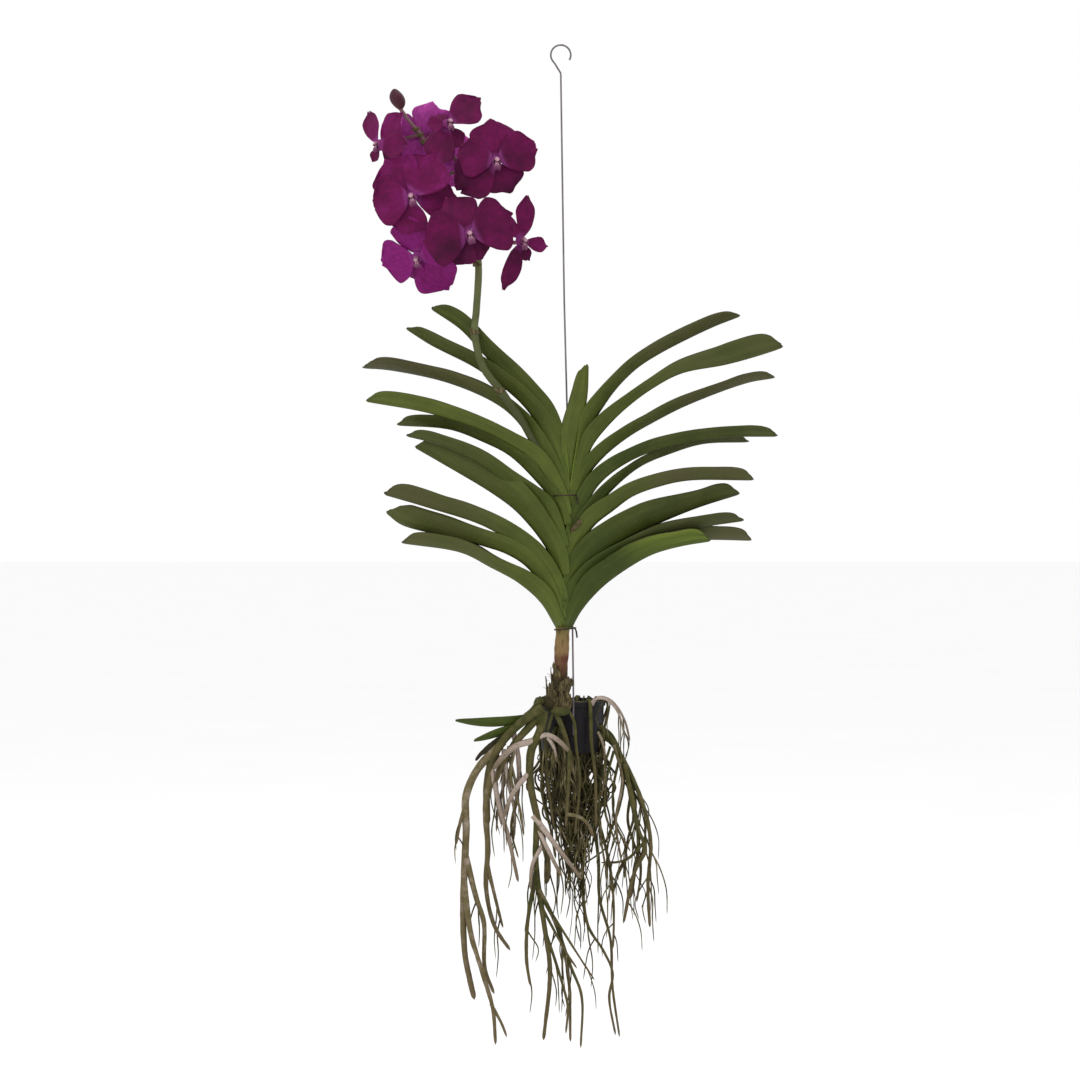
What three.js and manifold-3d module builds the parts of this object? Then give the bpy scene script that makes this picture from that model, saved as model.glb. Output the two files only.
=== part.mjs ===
// A vanda orchid that hangs on a steel wire: leafy stem, flower spike, small pot and bare roots.
// Millimetres, +Z up, +X to the right of the fan of leaves, -Y towards its front.
// The origin is the inner top of the wire's hook, the point that the whole plant hangs from.

import * as THREE from "three";
import { mergeVertices } from "three/addons/utils/BufferGeometryUtils.js";
import Module from "manifold-3d";

const wasm = await Module();
wasm.setup();

// ---- driving dimensions (mm) ----

const GAP = 0.3; // clearance between neighbouring solids

const STEM_Y = -26; // the plane that the stem and the two ranks of leaves stand in
const STEM_TOP = { x: 12, z: -443 };
const STEM_FOOT = { x: 3, z: -633 }; // where the leafy stem ends and the bare stem begins
const STEM_RADIUS = 5.2; // green core inside the sheaths
const ROOT_CROWN = { x: -3, z: -718 };

const WIRE_RADIUS = 1.0;
const HOOK_RADIUS = 11; // to the middle of the wire
const HOOK_NECK = -24;
const WIRE_FOOT = { x: 13.5, y: -21.2, z: -752 };

const POT_RADIUS = 37;
const POT_HEIGHT = 56;
const POT_WALL = 1.8;
const POT_LIP = 0.6; // how far the rim's band stands proud
const POT_TAPER = 3.5; // how much smaller the foot's radius is
const POT_CENTRE = { x: 12, y: 18 };
const POT_RIM = -716;
const POT_SLOTS = 4;
const SLOT_TURN = 0.39; // the first slot's turn from the right towards the front (radians)
const POT_DRAIN = 20; // radius of the hole in the floor

const LEAF_THICKNESS = 2;
const SHEATH_REACH = 9.5; // how far a keel stands off the stem's axis where its blade begins

const TIE_RADIUS = 0.8;
const TIE_STEPS = 12;

const TEPAL_THICKNESS = 1.1;
const CLAW_START = 4.6; // from the middle of the flower to the foot of each tepal

// ---- a repeatable random draw ----

function makeRandom(seed) {
  let state = seed;
  return () => {
    state = (state * 1664525 + 1013904223) % 4294967296;
    return state / 4294967296;
  };
}

// ---- solids: joining and cutting closed meshes ----

function toSolid(geometry) {
  const bare = geometry.clone();
  for (const name of ["normal", "uv", "color"]) bare.deleteAttribute(name);
  const merged = mergeVertices(bare, 1e-4);
  const index = Uint32Array.from(merged.index.array);
  const position = merged.attributes.position;
  if (enclosedVolume(position, index) < 0) {
    for (let i = 0; i < index.length; i += 3) {
      [index[i], index[i + 1]] = [index[i + 1], index[i]];
    }
  }
  return new wasm.Manifold(new wasm.Mesh({
    numProp: 3,
    vertProperties: Float32Array.from(position.array),
    triVerts: index,
  }));
}

function enclosedVolume(position, index) {
  const [a, b, c] = [new THREE.Vector3(), new THREE.Vector3(), new THREE.Vector3()];
  let sum = 0;
  for (let i = 0; i < index.length; i += 3) {
    a.fromBufferAttribute(position, index[i]);
    b.fromBufferAttribute(position, index[i + 1]);
    c.fromBufferAttribute(position, index[i + 2]);
    sum += a.dot(b.cross(c)) / 6;
  }
  return sum;
}

function toGeometry(solid) {
  const mesh = solid.getMesh();
  const geometry = new THREE.BufferGeometry();
  geometry.setAttribute("position", new THREE.BufferAttribute(mesh.vertProperties, 3));
  geometry.setIndex(new THREE.BufferAttribute(mesh.triVerts, 1));
  return geometry;
}

function fuse(solids) {
  return solids.reduce((sum, next) => sum.add(next));
}

// What is left of a solid once its neighbours are cut away, without the loose scraps.
function clearOf(solid, neighbours) {
  let rest = solid;
  for (const neighbour of neighbours) {
    if (boxesMeet(rest.boundingBox(), neighbour.boundingBox())) rest = rest.subtract(neighbour);
  }
  const pieces = rest.decompose();
  return pieces.reduce((best, piece) => (piece.volume() > best.volume() ? piece : best));
}

function boxesMeet(one, other) {
  return [0, 1, 2].every((i) => one.min[i] < other.max[i] && other.min[i] < one.max[i]);
}

// ---- skins: closed meshes over rows of rings ----

// A thin blade: each ring runs along its outer face and back along its inner face, and the
// two faces are split into triangles alike, so that a waved blade never cuts itself.
function bladeSkin(rings) {
  const count = rings[0].length;
  const half = count / 2;
  const triangles = [];
  for (let i = 0; i < rings.length - 1; i += 1) {
    for (let j = 0; j < count; j += 1) {
      const next = (j + 1) % count;
      const [p, q] = [i * count + j, i * count + next];
      const [r, s] = [(i + 1) * count + next, (i + 1) * count + j];
      if (j < half) triangles.push(p, q, r, p, r, s);
      else triangles.push(p, q, s, q, r, s);
    }
  }
  const last = (rings.length - 1) * count;
  for (let j = 0; j < half - 1; j += 1) {
    const [a, b, c, d] = [j, j + 1, count - 2 - j, count - 1 - j];
    triangles.push(b, a, c, c, a, d);
    triangles.push(last + a, last + b, last + c, last + a, last + c, last + d);
  }
  return meshOf(rings.flat(), triangles);
}

function bandTriangles(rings, bands) {
  const count = rings[0].length;
  const triangles = [];
  for (let i = 0; i < bands; i += 1) {
    for (let j = 0; j < count; j += 1) {
      const next = (j + 1) % count;
      const above = ((i + 1) % rings.length) * count;
      const [p, q] = [i * count + j, i * count + next];
      const [r, s] = [above + next, above + j];
      triangles.push(p, q, r, p, r, s);
    }
  }
  return triangles;
}

// A skin that closes on itself like a ring.
function closedSkin(rings) {
  return meshOf(rings.flat(), bandTriangles(rings, rings.length));
}

// A round skin with flat ends.
function roundSkin(rings) {
  const count = rings[0].length;
  const triangles = bandTriangles(rings, rings.length - 1);
  const last = (rings.length - 1) * count;
  for (let j = 1; j < count - 1; j += 1) {
    triangles.push(0, j + 1, j, last, last + j, last + j + 1);
  }
  return meshOf(rings.flat(), triangles);
}

function meshOf(points, triangles) {
  const geometry = new THREE.BufferGeometry();
  const flat = points.flatMap((point) => [point.x, point.y, point.z]);
  geometry.setAttribute("position", new THREE.Float32BufferAttribute(flat, 3));
  geometry.setIndex(triangles);
  return toSolid(geometry);
}

// A round strand along a smooth route; radiusAt(t) gives its radius from 0 to 1 along it.
function strand(points, radiusAt, sides, steps) {
  const curve = new THREE.CatmullRomCurve3(points, false, "centripetal");
  const frames = curve.computeFrenetFrames(steps, false);
  const rings = [];
  for (let i = 0; i <= steps; i += 1) {
    const centre = curve.getPointAt(i / steps);
    const radius = radiusAt(i / steps);
    rings.push(circle(centre, frames.normals[i], frames.binormals[i], radius, radius, sides));
  }
  return roundSkin(rings);
}

function circle(centre, across, up, radiusAcross, radiusUp, sides) {
  return Array.from({ length: sides }, (_, k) => {
    const angle = (k / sides) * 2 * Math.PI;
    return centre.clone()
      .addScaledVector(across, Math.cos(angle) * radiusAcross)
      .addScaledVector(up, Math.sin(angle) * radiusUp);
  });
}

function lump(x, y, z, rx, ry, rz, detail = 8) {
  const ball = new THREE.SphereGeometry(1, detail, Math.round(detail * 0.7));
  ball.scale(rx, ry, rz);
  ball.translate(x, y, z);
  return toSolid(ball);
}

const AXIS = {
  x: new THREE.Vector3(1, 0, 0),
  y: new THREE.Vector3(0, 1, 0),
  z: new THREE.Vector3(0, 0, 1),
};

function stemX(z) {
  const share = (z - STEM_FOOT.z) / (STEM_TOP.z - STEM_FOOT.z);
  return STEM_FOOT.x + (STEM_TOP.x - STEM_FOOT.x) * share;
}

// ---- leaves ----

// Each leaf: the height of its node on the stem, where its tip reaches, the direction that it
// leaves the stem in and the one that its tip points in (degrees above the horizontal, measured
// outwards), how far each half stands off the keel's plane (degrees, at mid-length and at the
// tip), how it rolls to its front at the tip (degrees), its half width and its depth at the tip.
const LEFT_LEAVES = [
  { node: -448, tip: [-144, -289], launch: 71, droop: 6, open: [48, 62], roll: 10, half: 16, depth: -12 },
  { node: -464, tip: [-168, -310], launch: 75, droop: 22, open: [50, 66], roll: 5, half: 14, depth: 14 },
  { node: -491, tip: [-213, -353], launch: 80, droop: 0, open: [60, 72], roll: -6, half: 15, depth: -4 },
  { node: -508, tip: [-210, -390], launch: 86, droop: 1, open: [44, 58], roll: 8, half: 16, depth: -16 },
  { node: -524, tip: [-177, -415], launch: 92, droop: -13, open: [46, 62], roll: 0, half: 15, depth: 10 },
  { node: -540, tip: [-165, -426], launch: 94, droop: -6, open: [50, 60], roll: 4, half: 16, depth: -10 },
  { node: -578, tip: [-156, -438], launch: 77, droop: 7, open: [46, 64], roll: 0, half: 16, depth: 12 },
  { node: -605, tip: [-191, -488], launch: 80, droop: 9, open: [40, 55], roll: 14, half: 17, depth: -14 },
  { node: -621, tip: [-187, -508], launch: 75, droop: 23, open: [52, 74], roll: 44, half: 17, depth: 4 },
  { node: -639, tip: [-170, -542], launch: 73, droop: -7, open: [52, 66], roll: 0, half: 15, depth: -8 },
];

const RIGHT_LEAVES = [
  { node: -448, tip: [193, -295], launch: 76, droop: 16, open: [50, 62], roll: 4, half: 15, depth: 12 },
  { node: -464, tip: [238, -329], launch: 69, droop: 4, open: [50, 76], roll: 50, half: 16, depth: -14 },
  { node: -486, tip: [232, -363], launch: 72, droop: 6, open: [56, 70], roll: 0, half: 15, depth: 6 },
  { node: -508, tip: [231, -427], launch: 71, droop: -12, open: [48, 62], roll: 6, half: 15, depth: -12 },
  { node: -529, tip: [202, -433], launch: 71, droop: -23, open: [46, 60], roll: 0, half: 15, depth: 12 },
  { node: -551, tip: [206, -474], launch: 70, droop: -15, open: [44, 58], roll: 6, half: 16, depth: -8 },
  { node: -578, tip: [193, -490], launch: 64, droop: 10, open: [52, 66], roll: 4, half: 15, depth: 10 },
  { node: -605, tip: [196, -520], launch: 80, droop: -19, open: [46, 64], roll: 0, half: 16, depth: -6 },
  { node: -618, tip: [207, -540], launch: 66, droop: -24, open: [52, 70], roll: 0, half: 15, depth: 14 },
  { node: -639, tip: [160, -542], launch: 73, droop: -14, open: [42, 60], roll: 12, half: 17, depth: -10 },
];

const CROWN_LEAF = {
  node: -454, tip: [29, -353], launch: 89, droop: 65, open: [64, 60], roll: 78, half: 10, depth: -6,
};
const CROWN_LEAF_START = 0.12; // share of its keel that stays hidden in the stem's top

const KEEL_LEAD = 0.38; // how far the launch direction carries, as a share of the leaf's chord
const KEEL_TAIL = 0.3;
const LEAF_RINGS = 9;

// The keel runs from the stem's axis to the tip, side is -1 to the left and 1 to the right.
function leafOf(spec, side) {
  const start = new THREE.Vector3(stemX(spec.node), STEM_Y, spec.node);
  const end = new THREE.Vector3(spec.tip[0], STEM_Y + spec.depth, spec.tip[1]);
  const chord = start.distanceTo(end);
  const launch = THREE.MathUtils.degToRad(spec.launch);
  const droop = THREE.MathUtils.degToRad(spec.droop);
  const first = new THREE.Vector3(side * Math.cos(launch), 0, Math.sin(launch));
  const second = new THREE.Vector3(side * Math.cos(droop), 0, Math.sin(droop));
  const keel = new THREE.CubicBezierCurve3(
    start,
    start.clone().addScaledVector(first, chord * KEEL_LEAD),
    end.clone().addScaledVector(second, -chord * KEEL_TAIL),
    end,
  );
  let base = 0;
  while (base < 0.5) {
    const point = keel.getPoint(base);
    if (side * (point.x - stemX(point.z)) > SHEATH_REACH) break;
    base += 0.005;
  }
  return { ...spec, side, keel, base };
}

// The blade's frame at t: tangent, up (the side that the two halves open to) and depth.
function leafFrame(leaf, t) {
  const tangent = leaf.keel.getTangent(t);
  const depth = AXIS.y.clone().addScaledVector(tangent, -tangent.y).normalize();
  const up = tangent.clone().cross(depth).multiplyScalar(leaf.side);
  const roll = THREE.MathUtils.degToRad(leaf.roll) * THREE.MathUtils.smoothstep(t, 0.35, 0.85);
  const rolledUp = up.clone().multiplyScalar(Math.cos(roll)).addScaledVector(depth, Math.sin(roll));
  const rolledDepth = depth.clone().multiplyScalar(Math.cos(roll)).addScaledVector(up, -Math.sin(roll));
  return { tangent, up: rolledUp, depth: rolledDepth };
}

// Six points round the V of the blade, t from 0 at its foot to 1 at its tip.
function leafRing(leaf, share, grow) {
  const t = leaf.base + (1 - leaf.base) * share;
  const centre = leaf.keel.getPoint(t);
  const { tangent, up, depth } = leafFrame(leaf, t);
  const opening = share < 0.5
    ? THREE.MathUtils.lerp(32, leaf.open[0], share * 2)
    : THREE.MathUtils.lerp(leaf.open[0], leaf.open[1], share * 2 - 1);
  const angle = THREE.MathUtils.degToRad(opening);
  const rounding = share > 0.9 ? Math.sqrt(1 - ((share - 0.9) / 0.118) ** 2) : 1;
  const half = leaf.half * (0.86 + 0.14 * Math.sin(Math.PI * share)) * rounding + grow;
  const thick = LEAF_THICKNESS * (1 - 0.35 * share) / 2 + grow;
  const bite = share > 0.98 ? 1 : 0; // the tip is bitten off unevenly
  const [cos, sin] = [Math.cos(angle), Math.sin(angle)];
  const edgePoint = (sign, face) => {
    const along = up.clone().multiplyScalar(cos).addScaledVector(depth, sign * sin);
    const inward = up.clone().multiplyScalar(sin).addScaledVector(depth, -sign * cos);
    return centre.clone()
      .addScaledVector(along, half)
      .addScaledVector(inward, face * thick * 0.7)
      .addScaledVector(tangent, bite * (sign > 0 ? -3 : 2) + bite * grow);
  };
  const mitre = Math.min(thick / sin, thick * 1.7);
  const keelPoint = (face) => centre.clone()
    .addScaledVector(up, face * mitre)
    .addScaledVector(tangent, bite * (grow - 3));
  const outside = [edgePoint(-1, -1), keelPoint(-1), edgePoint(1, -1)];
  const inside = [edgePoint(1, 1), keelPoint(1), edgePoint(-1, 1)];
  return [...outside, ...inside];
}

function leafBlade(leaf, grow = 0) {
  const rings = [];
  for (let i = 0; i < LEAF_RINGS; i += 1) {
    const even = i / (LEAF_RINGS - 1);
    rings.push(leafRing(leaf, 1 - (1 - even) ** 1.25, grow));
  }
  return bladeSkin(rings);
}

// The sheath that wraps the stem from the leaf's node up to the foot of its blade.
function leafSheath(leaf, grow = 0) {
  const rings = [];
  const spans = 2;
  for (let i = 0; i <= spans; i += 1) {
    const point = leaf.keel.getPoint((leaf.base * i) / spans);
    const axis = stemX(point.z);
    const reach = Math.abs(point.x - axis);
    const wrap = STEM_RADIUS + 0.6 + (1.6 * i) / spans;
    const centre = new THREE.Vector3(axis + leaf.side * reach * 0.46, STEM_Y, point.z);
    rings.push(circle(centre, AXIS.x, AXIS.y, wrap + reach * 0.54 + grow, wrap + grow, 6));
  }
  return roundSkin(rings);
}

const leftLeaves = LEFT_LEAVES.map((spec) => leafOf(spec, -1));
const rightLeaves = RIGHT_LEAVES.map((spec) => leafOf(spec, 1));
const crownLeaf = leafOf(CROWN_LEAF, 1);
crownLeaf.base = CROWN_LEAF_START;

// ---- stem ----

function leafyStem(grow = 0) {
  const core = strand([
    new THREE.Vector3(STEM_FOOT.x, STEM_Y, STEM_FOOT.z - grow),
    new THREE.Vector3(stemX(-540), STEM_Y, -540),
    new THREE.Vector3(STEM_TOP.x, STEM_Y, STEM_TOP.z + grow),
  ], () => STEM_RADIUS + grow, 10, 8);
  const cutSpike = strand([
    new THREE.Vector3(stemX(-527), STEM_Y - 3, -530),
    new THREE.Vector3(stemX(-527) + 9, STEM_Y - 8, -524),
    new THREE.Vector3(stemX(-527) + 14, STEM_Y - 11, -519),
  ], () => 2.4 + grow, 6, 3);
  const sheaths = [...leftLeaves, ...rightLeaves].map((leaf) => leafSheath(leaf, grow));
  return fuse([core, cutSpike, ...sheaths]);
}

// The bare stem: ringed by the scars of old leaves, with the fibres of dead sheaths at its foot.
function oldStem(grow = 0) {
  const top = STEM_FOOT.z - 1.2;
  const height = top - ROOT_CROWN.z;
  const rings = [];
  const steps = 6;
  for (let i = 0; i <= steps; i += 1) {
    const share = i / steps;
    const scar = i % 2 ? 0.8 : -0.3;
    const flare = 5 * THREE.MathUtils.smoothstep(share, 0.7, 1);
    const radius = 6.4 + scar + flare + grow;
    const end = share === 0 ? grow : -grow * (share === 1 ? 1 : 0);
    const x = STEM_FOOT.x - 1 + (ROOT_CROWN.x - STEM_FOOT.x) * share ** 1.5;
    const centre = new THREE.Vector3(x, STEM_Y, top - height * share + end);
    rings.push(circle(centre, AXIS.x, AXIS.y, radius, radius * 0.72, 7));
  }
  const deadSheaths = [
    [-10, -3, -690, -15, -1, -672],
    [-8, -5, -706, -17, -7, -690],
    [4, -5, -700, 10, -7, -684],
    [2, -6, -684, 6, -8.5, -668],
  ].map(([x0, y0, z0, x1, y1, z1]) => strand([
    new THREE.Vector3(x0 + 5 * Math.sign(-x0), STEM_Y + y0 * 0.4, z0 - 12),
    new THREE.Vector3(x0, STEM_Y + y0, z0),
    new THREE.Vector3(x1, STEM_Y + y1, z1),
  ], (t) => (3.4 - 2.4 * t) + grow, 4, 3));
  const crown = [
    lump(-9, STEM_Y - 3, -716, 11 + grow, 6.5 + grow, 9 + grow, 6),
    lump(4, STEM_Y - 2, -716, 9 + grow, 6 + grow, 8 + grow, 6),
  ];
  return fuse([roundSkin(rings), ...deadSheaths, ...crown]);
}

// ---- offshoot at the root crown ----

function offshootGreen(grow = 0) {
  const y = STEM_Y - 9;
  const stem = strand([
    new THREE.Vector3(-20, y + 4, -711),
    new THREE.Vector3(-32, y, -726),
    new THREE.Vector3(-45, y - 2, -735),
  ], () => 4.2 + grow, 6, 4);
  const leaves = [
    [[-40, -730], [-75, -738], [-114, -734.5], 7],
    [[-40, -734], [-72, -747], [-93, -757], 6],
  ].map(([foot, middle, tip, half]) => smallBlade(foot, middle, tip, half, y - 2, grow));
  return fuse([stem, ...leaves]);
}

function offshootDead(grow = 0) {
  return smallBlade([-49, -741], [-71, -759], [-93, -777], 3.4, STEM_Y - 6, grow);
}

// A short blade, folded along its keel, that tapers to a point.
function smallBlade(foot, middle, tip, halfWidth, y, grow) {
  const curve = new THREE.QuadraticBezierCurve3(
    new THREE.Vector3(foot[0], y, foot[1]),
    new THREE.Vector3(middle[0], y - 5, middle[1]),
    new THREE.Vector3(tip[0], y + 3, tip[1]),
  );
  const rings = [];
  const steps = 6;
  for (let i = 0; i <= steps; i += 1) {
    const t = i / steps;
    const centre = curve.getPoint(t);
    const tangent = curve.getTangent(t);
    const depth = AXIS.y.clone().addScaledVector(tangent, -tangent.y).normalize();
    const up = depth.clone().cross(tangent);
    const half = halfWidth * (0.7 + 0.3 * Math.sin(Math.PI * t)) * Math.sqrt(1.02 - t ** 3) + grow;
    const thick = 0.8 + grow;
    const at = (side, face) => centre.clone()
      .addScaledVector(up, Math.abs(side) * half * 0.6 + face * thick)
      .addScaledVector(depth, side * half * 0.8);
    rings.push([at(-1, -1), at(0, -1), at(1, -1), at(1, 1), at(0, 1), at(-1, 1)]);
  }
  return bladeSkin(rings);
}

// ---- flowers ----

// Each bloom: the middle of its face, the way that it faces, the roll of its dorsal sepal from
// upright (degrees, to the left), the length of its tepals, and the height on the rachis that its
// stalk leaves from.
const BLOOMS = [
  { at: [-198, -32, -113], faces: [-0.88, -0.45, 0.1], roll: 10, size: 35, from: -104 },
  { at: [-151, -12, -107], faces: [-0.1, 0.92, 0.3], roll: -12, size: 40, from: -98 },
  { at: [-119, -32, -94], faces: [0.55, -0.75, 0.35], roll: 30, size: 43, from: -112 },
  { at: [-112, 8, -128], faces: [0.3, 0.9, -0.3], roll: 0, size: 38, from: -126 },
  { at: [-70, -52, -135], faces: [0.3, -0.94, 0.1], roll: 12, size: 45, from: -150 },
  { at: [-160, -66, -172], faces: [-0.15, -0.98, 0], roll: 16, size: 46, from: -172 },
  { at: [-100, -84, -211], faces: [0.12, -0.98, 0.06], roll: 24, size: 48, from: -204 },
  { at: [-156, -38, -239], faces: [-0.25, -0.8, -0.55], roll: 20, size: 43, from: -222 },
  { at: [-33, -20, -214], faces: [0.9, -0.42, 0], roll: 4, size: 44, from: -190 },
];

// The five tepals: direction round the face from the dorsal sepal (degrees), height of its blade
// on the face (the two petals lie in front), length and width as shares of the bloom's size.
const TEPALS = [
  { turn: 0, rise: -1.6, length: 0.94, width: 0.94 },
  { turn: 73, rise: 2, length: 1, width: 1.12 },
  { turn: -73, rise: 2, length: 1, width: 1.12 },
  { turn: 146, rise: -1.4, length: 0.98, width: 1 },
  { turn: -146, rise: -4, length: 0.98, width: 1 },
];

const BUD = { at: [-176, -38, -66], radius: 8.2, length: 24 };
const RACHIS_Y = -40;

// The face's frame: forward, up and right, after the roll.
function bloomFrame(bloom) {
  const forward = new THREE.Vector3(...bloom.faces).normalize();
  const level = AXIS.z.clone().addScaledVector(forward, -forward.z).normalize();
  const up = level.applyAxisAngle(forward, THREE.MathUtils.degToRad(bloom.roll));
  const right = up.clone().cross(forward);
  return { forward, up, right, centre: new THREE.Vector3(...bloom.at) };
}

// A tepal's outline: narrow claw, broadest at three quarters, rounded and slightly notched end.
function tepalHalfWidth(u) {
  if (u > 0.75) return 1 - 0.16 * ((u - 0.75) / 0.25) ** 2;
  return 0.15 + 0.85 * Math.sin((Math.PI / 2) * (u / 0.75)) ** 1.25;
}

function tepalPoint(bloom, tepal, u, v, lift) {
  const length = bloom.size * tepal.length;
  const half = (bloom.size * tepal.width) / 2;
  const along = length * (u - 0.3 * v * v * u ** 3) - 0.03 * length * (1 - Math.abs(v)) ** 4 * u ** 6;
  const across = v * half * tepalHalfWidth(u);
  const wave = 0.026 * bloom.size * Math.sin(2.6 * v + 4.2 * u + tepal.turn) * u * u;
  const cup = 0.04 * bloom.size * (v * v - 0.4) * u;
  const height = tepal.rise + wave + cup + lift;
  return new THREE.Vector3(across, along + CLAW_START, height);
}

function tepalBlade(bloom, tepal, grow) {
  const rows = [0, 0.34, 0.7, 1];
  const columns = [-1, -0.4, 0.4, 1];
  const thick = TEPAL_THICKNESS / 2 + grow;
  const rings = rows.map((u) => [
    ...columns.map((v) => tepalPoint(bloom, tepal, u, v, -thick)),
    ...columns.toReversed().map((v) => tepalPoint(bloom, tepal, u, v, thick)),
  ]);
  for (const point of rings.flat()) {
    point.x += Math.sign(point.x) * grow;
    if (point.y > bloom.size * 0.6) point.y += grow;
  }
  return { rings, turn: THREE.MathUtils.degToRad(tepal.turn) };
}

// Moves a point from the bloom's face (x right, y up, z forward) to its place on the plant.
function placeOnFace(frame, point, turn = 0) {
  const x = point.x * Math.cos(turn) - point.y * Math.sin(turn);
  const y = point.x * Math.sin(turn) + point.y * Math.cos(turn);
  return frame.centre.clone()
    .addScaledVector(frame.right, x)
    .addScaledVector(frame.up, y)
    .addScaledVector(frame.forward, point.z);
}

function bloomTepals(bloom, grow = 0) {
  const frame = bloomFrame(bloom);
  const blades = TEPALS.map((tepal) => {
    const { rings, turn } = tepalBlade(bloom, tepal, grow);
    return bladeSkin(rings.map((ring) => ring.map((point) => placeOnFace(frame, point, turn))));
  });
  const hub = roundSkin([[-5.5, 2.6], [-2.5, 6], [2.8, 5.6]].map(([height, radius]) => circle(
    placeOnFace(frame, new THREE.Vector3(0, 0, height + Math.sign(height) * grow)),
    frame.right,
    frame.up,
    radius + grow,
    radius + grow,
    7,
  )));
  return fuse([hub, ...blades]);
}

// The lip with its two side lobes and spur, under the column's cap.
function bloomLip(bloom, grow = 0) {
  const frame = bloomFrame(bloom);
  const on = (x, y, z) => placeOnFace(frame, new THREE.Vector3(x, y, z));
  const scale = bloom.size / 45;
  const foot = 2.8 + 2 * GAP;
  const column = roundSkin([[foot, 2.6], [9, 3.5], [11.5, 2]].map(([height, radius]) => circle(
    on(0, 1.5 * scale, foot + (height - foot) * scale),
    frame.right,
    frame.up,
    radius * scale + grow,
    radius * scale * 0.9 + grow,
    5,
  )));
  const lip = strand([
    on(0, 1 * scale, 6 * scale),
    on(0, -5 * scale, 7.5 * scale),
    on(0, -11 * scale, 10 * scale),
    on(0, -15 * scale, 8.5 * scale),
  ], (t) => (2.2 + 2.4 * Math.sin(Math.PI * t ** 0.8)) * scale + grow, 5, 4);
  return fuse([column, lip]);
}

// ---- flower spike ----

const PEDUNCLE = [
  [-2, -33, -474],
  [-9, -37, -464],
  [-23, -42, -443],
  [-41, -46, -409],
  [-63, -47, -381],
  [-84, -45, -354],
  [-93, -42, -316],
  [-91, -40, -292],
  [-90, -40, -231],
  [-103, RACHIS_Y, -200],
  [-120, RACHIS_Y, -168],
  [-151, RACHIS_Y, -104],
  [-162, RACHIS_Y, -82],
];
const PEDUNCLE_RADIUS = 3.9;
const RACHIS_RADIUS = 2.2;

function rachisPoint(z) {
  const after = PEDUNCLE.findIndex((point) => point[2] > z);
  const [low, high] = [PEDUNCLE[after - 1], PEDUNCLE[after]];
  const share = (z - low[2]) / (high[2] - low[2]);
  return new THREE.Vector3(...low).lerp(new THREE.Vector3(...high), share);
}

// The stalk of a bloom: out of the rachis, up, and into the back of the flower.
function pedicel(from, frame, grow) {
  const back = placeOnFace(frame, new THREE.Vector3(0, 0, -5.5 - GAP - 0.1 + grow));
  const behind = placeOnFace(frame, new THREE.Vector3(0, 0, -15));
  const foot = rachisPoint(from);
  const middle = foot.clone().lerp(behind, 0.55);
  middle.z += 3;
  return strand([foot, middle, behind, back], (t) => 1.5 + 0.5 * t + grow, 4, 4);
}

function flowerSpike(grow = 0) {
  const points = PEDUNCLE.map((point) => new THREE.Vector3(...point));
  const { lerp, smoothstep } = THREE.MathUtils;
  const thickness = (t) => lerp(PEDUNCLE_RADIUS, RACHIS_RADIUS, smoothstep(t, 0.55, 0.95)) + grow;
  const stalk = strand(points, thickness, 7, 18);
  const stalks = BLOOMS.map((bloom) => pedicel(bloom.from, bloomFrame(bloom), grow));
  const budFoot = new THREE.Vector3(BUD.at[0] + 4, BUD.at[1], BUD.at[2] - BUD.length / 2 - 1.2 + grow);
  const budStalk = strand(
    [rachisPoint(-92), new THREE.Vector3(-166, RACHIS_Y, -86), budFoot],
    () => 1.3 + grow,
    5,
    5,
  );
  return fuse([stalk, ...stalks, budStalk]);
}

function bud(grow = 0) {
  const rings = [0, 0.2, 0.5, 0.8, 1].map((share) => {
    const radius = BUD.radius * Math.sin(Math.PI * (0.08 + 0.84 * share)) ** 0.7 + grow;
    const z = BUD.at[2] - BUD.length / 2 + BUD.length * share + (share - 0.5) * 2 * grow;
    const centre = new THREE.Vector3(BUD.at[0] + 4 - 6 * share, BUD.at[1], z);
    return circle(centre, AXIS.x, AXIS.y, radius, radius, 8);
  });
  return roundSkin(rings);
}

// ---- wire and ties ----

const WIRE_ROUTE = [
  [0, 0, HOOK_NECK - 6],
  [3.7, -8, -280],
  [8.6, -13.6, -470],
  [12.6, -18.4, -635],
  [13.5, WIRE_FOOT.y, -705],
  [13.5, WIRE_FOOT.y, WIRE_FOOT.z + 7],
];

// One bent rod: an open hook at the top, the long run, and a short hook through the pot's wall.
function hangerWire(grow = 0) {
  const route = [];
  const centre = new THREE.Vector3(0, 0, WIRE_RADIUS - HOOK_RADIUS);
  for (let degrees = 210; degrees >= -50; degrees -= 20) {
    const angle = THREE.MathUtils.degToRad(degrees);
    const along = new THREE.Vector3(-Math.cos(angle), 0, Math.sin(angle));
    route.push(centre.clone().addScaledVector(along, HOOK_RADIUS));
  }
  route.push(...WIRE_ROUTE.map((point) => new THREE.Vector3(...point)));
  const { x, y, z } = WIRE_FOOT;
  route.push(new THREE.Vector3(x, y + 1.2, z + 1.4));
  route.push(new THREE.Vector3(x, y + 4.5, z));
  route.push(new THREE.Vector3(x, y + 8, z + 1.4));
  route.push(new THREE.Vector3(x, y + 9, z + 6));
  return rod(route, WIRE_RADIUS + grow, 6);
}

// A rod bent at the points of its route, with a ring square to the route at each of them.
function rod(route, radius, sides) {
  let across = AXIS.y.clone();
  const rings = route.map((point, i) => {
    const before = route[Math.max(i - 1, 0)];
    const after = route[Math.min(i + 1, route.length - 1)];
    const along = after.clone().sub(before).normalize();
    across = across.addScaledVector(along, -across.dot(along)).normalize();
    return circle(point, across, along.clone().cross(across), radius, radius, sides);
  });
  return roundSkin(rings);
}

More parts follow.
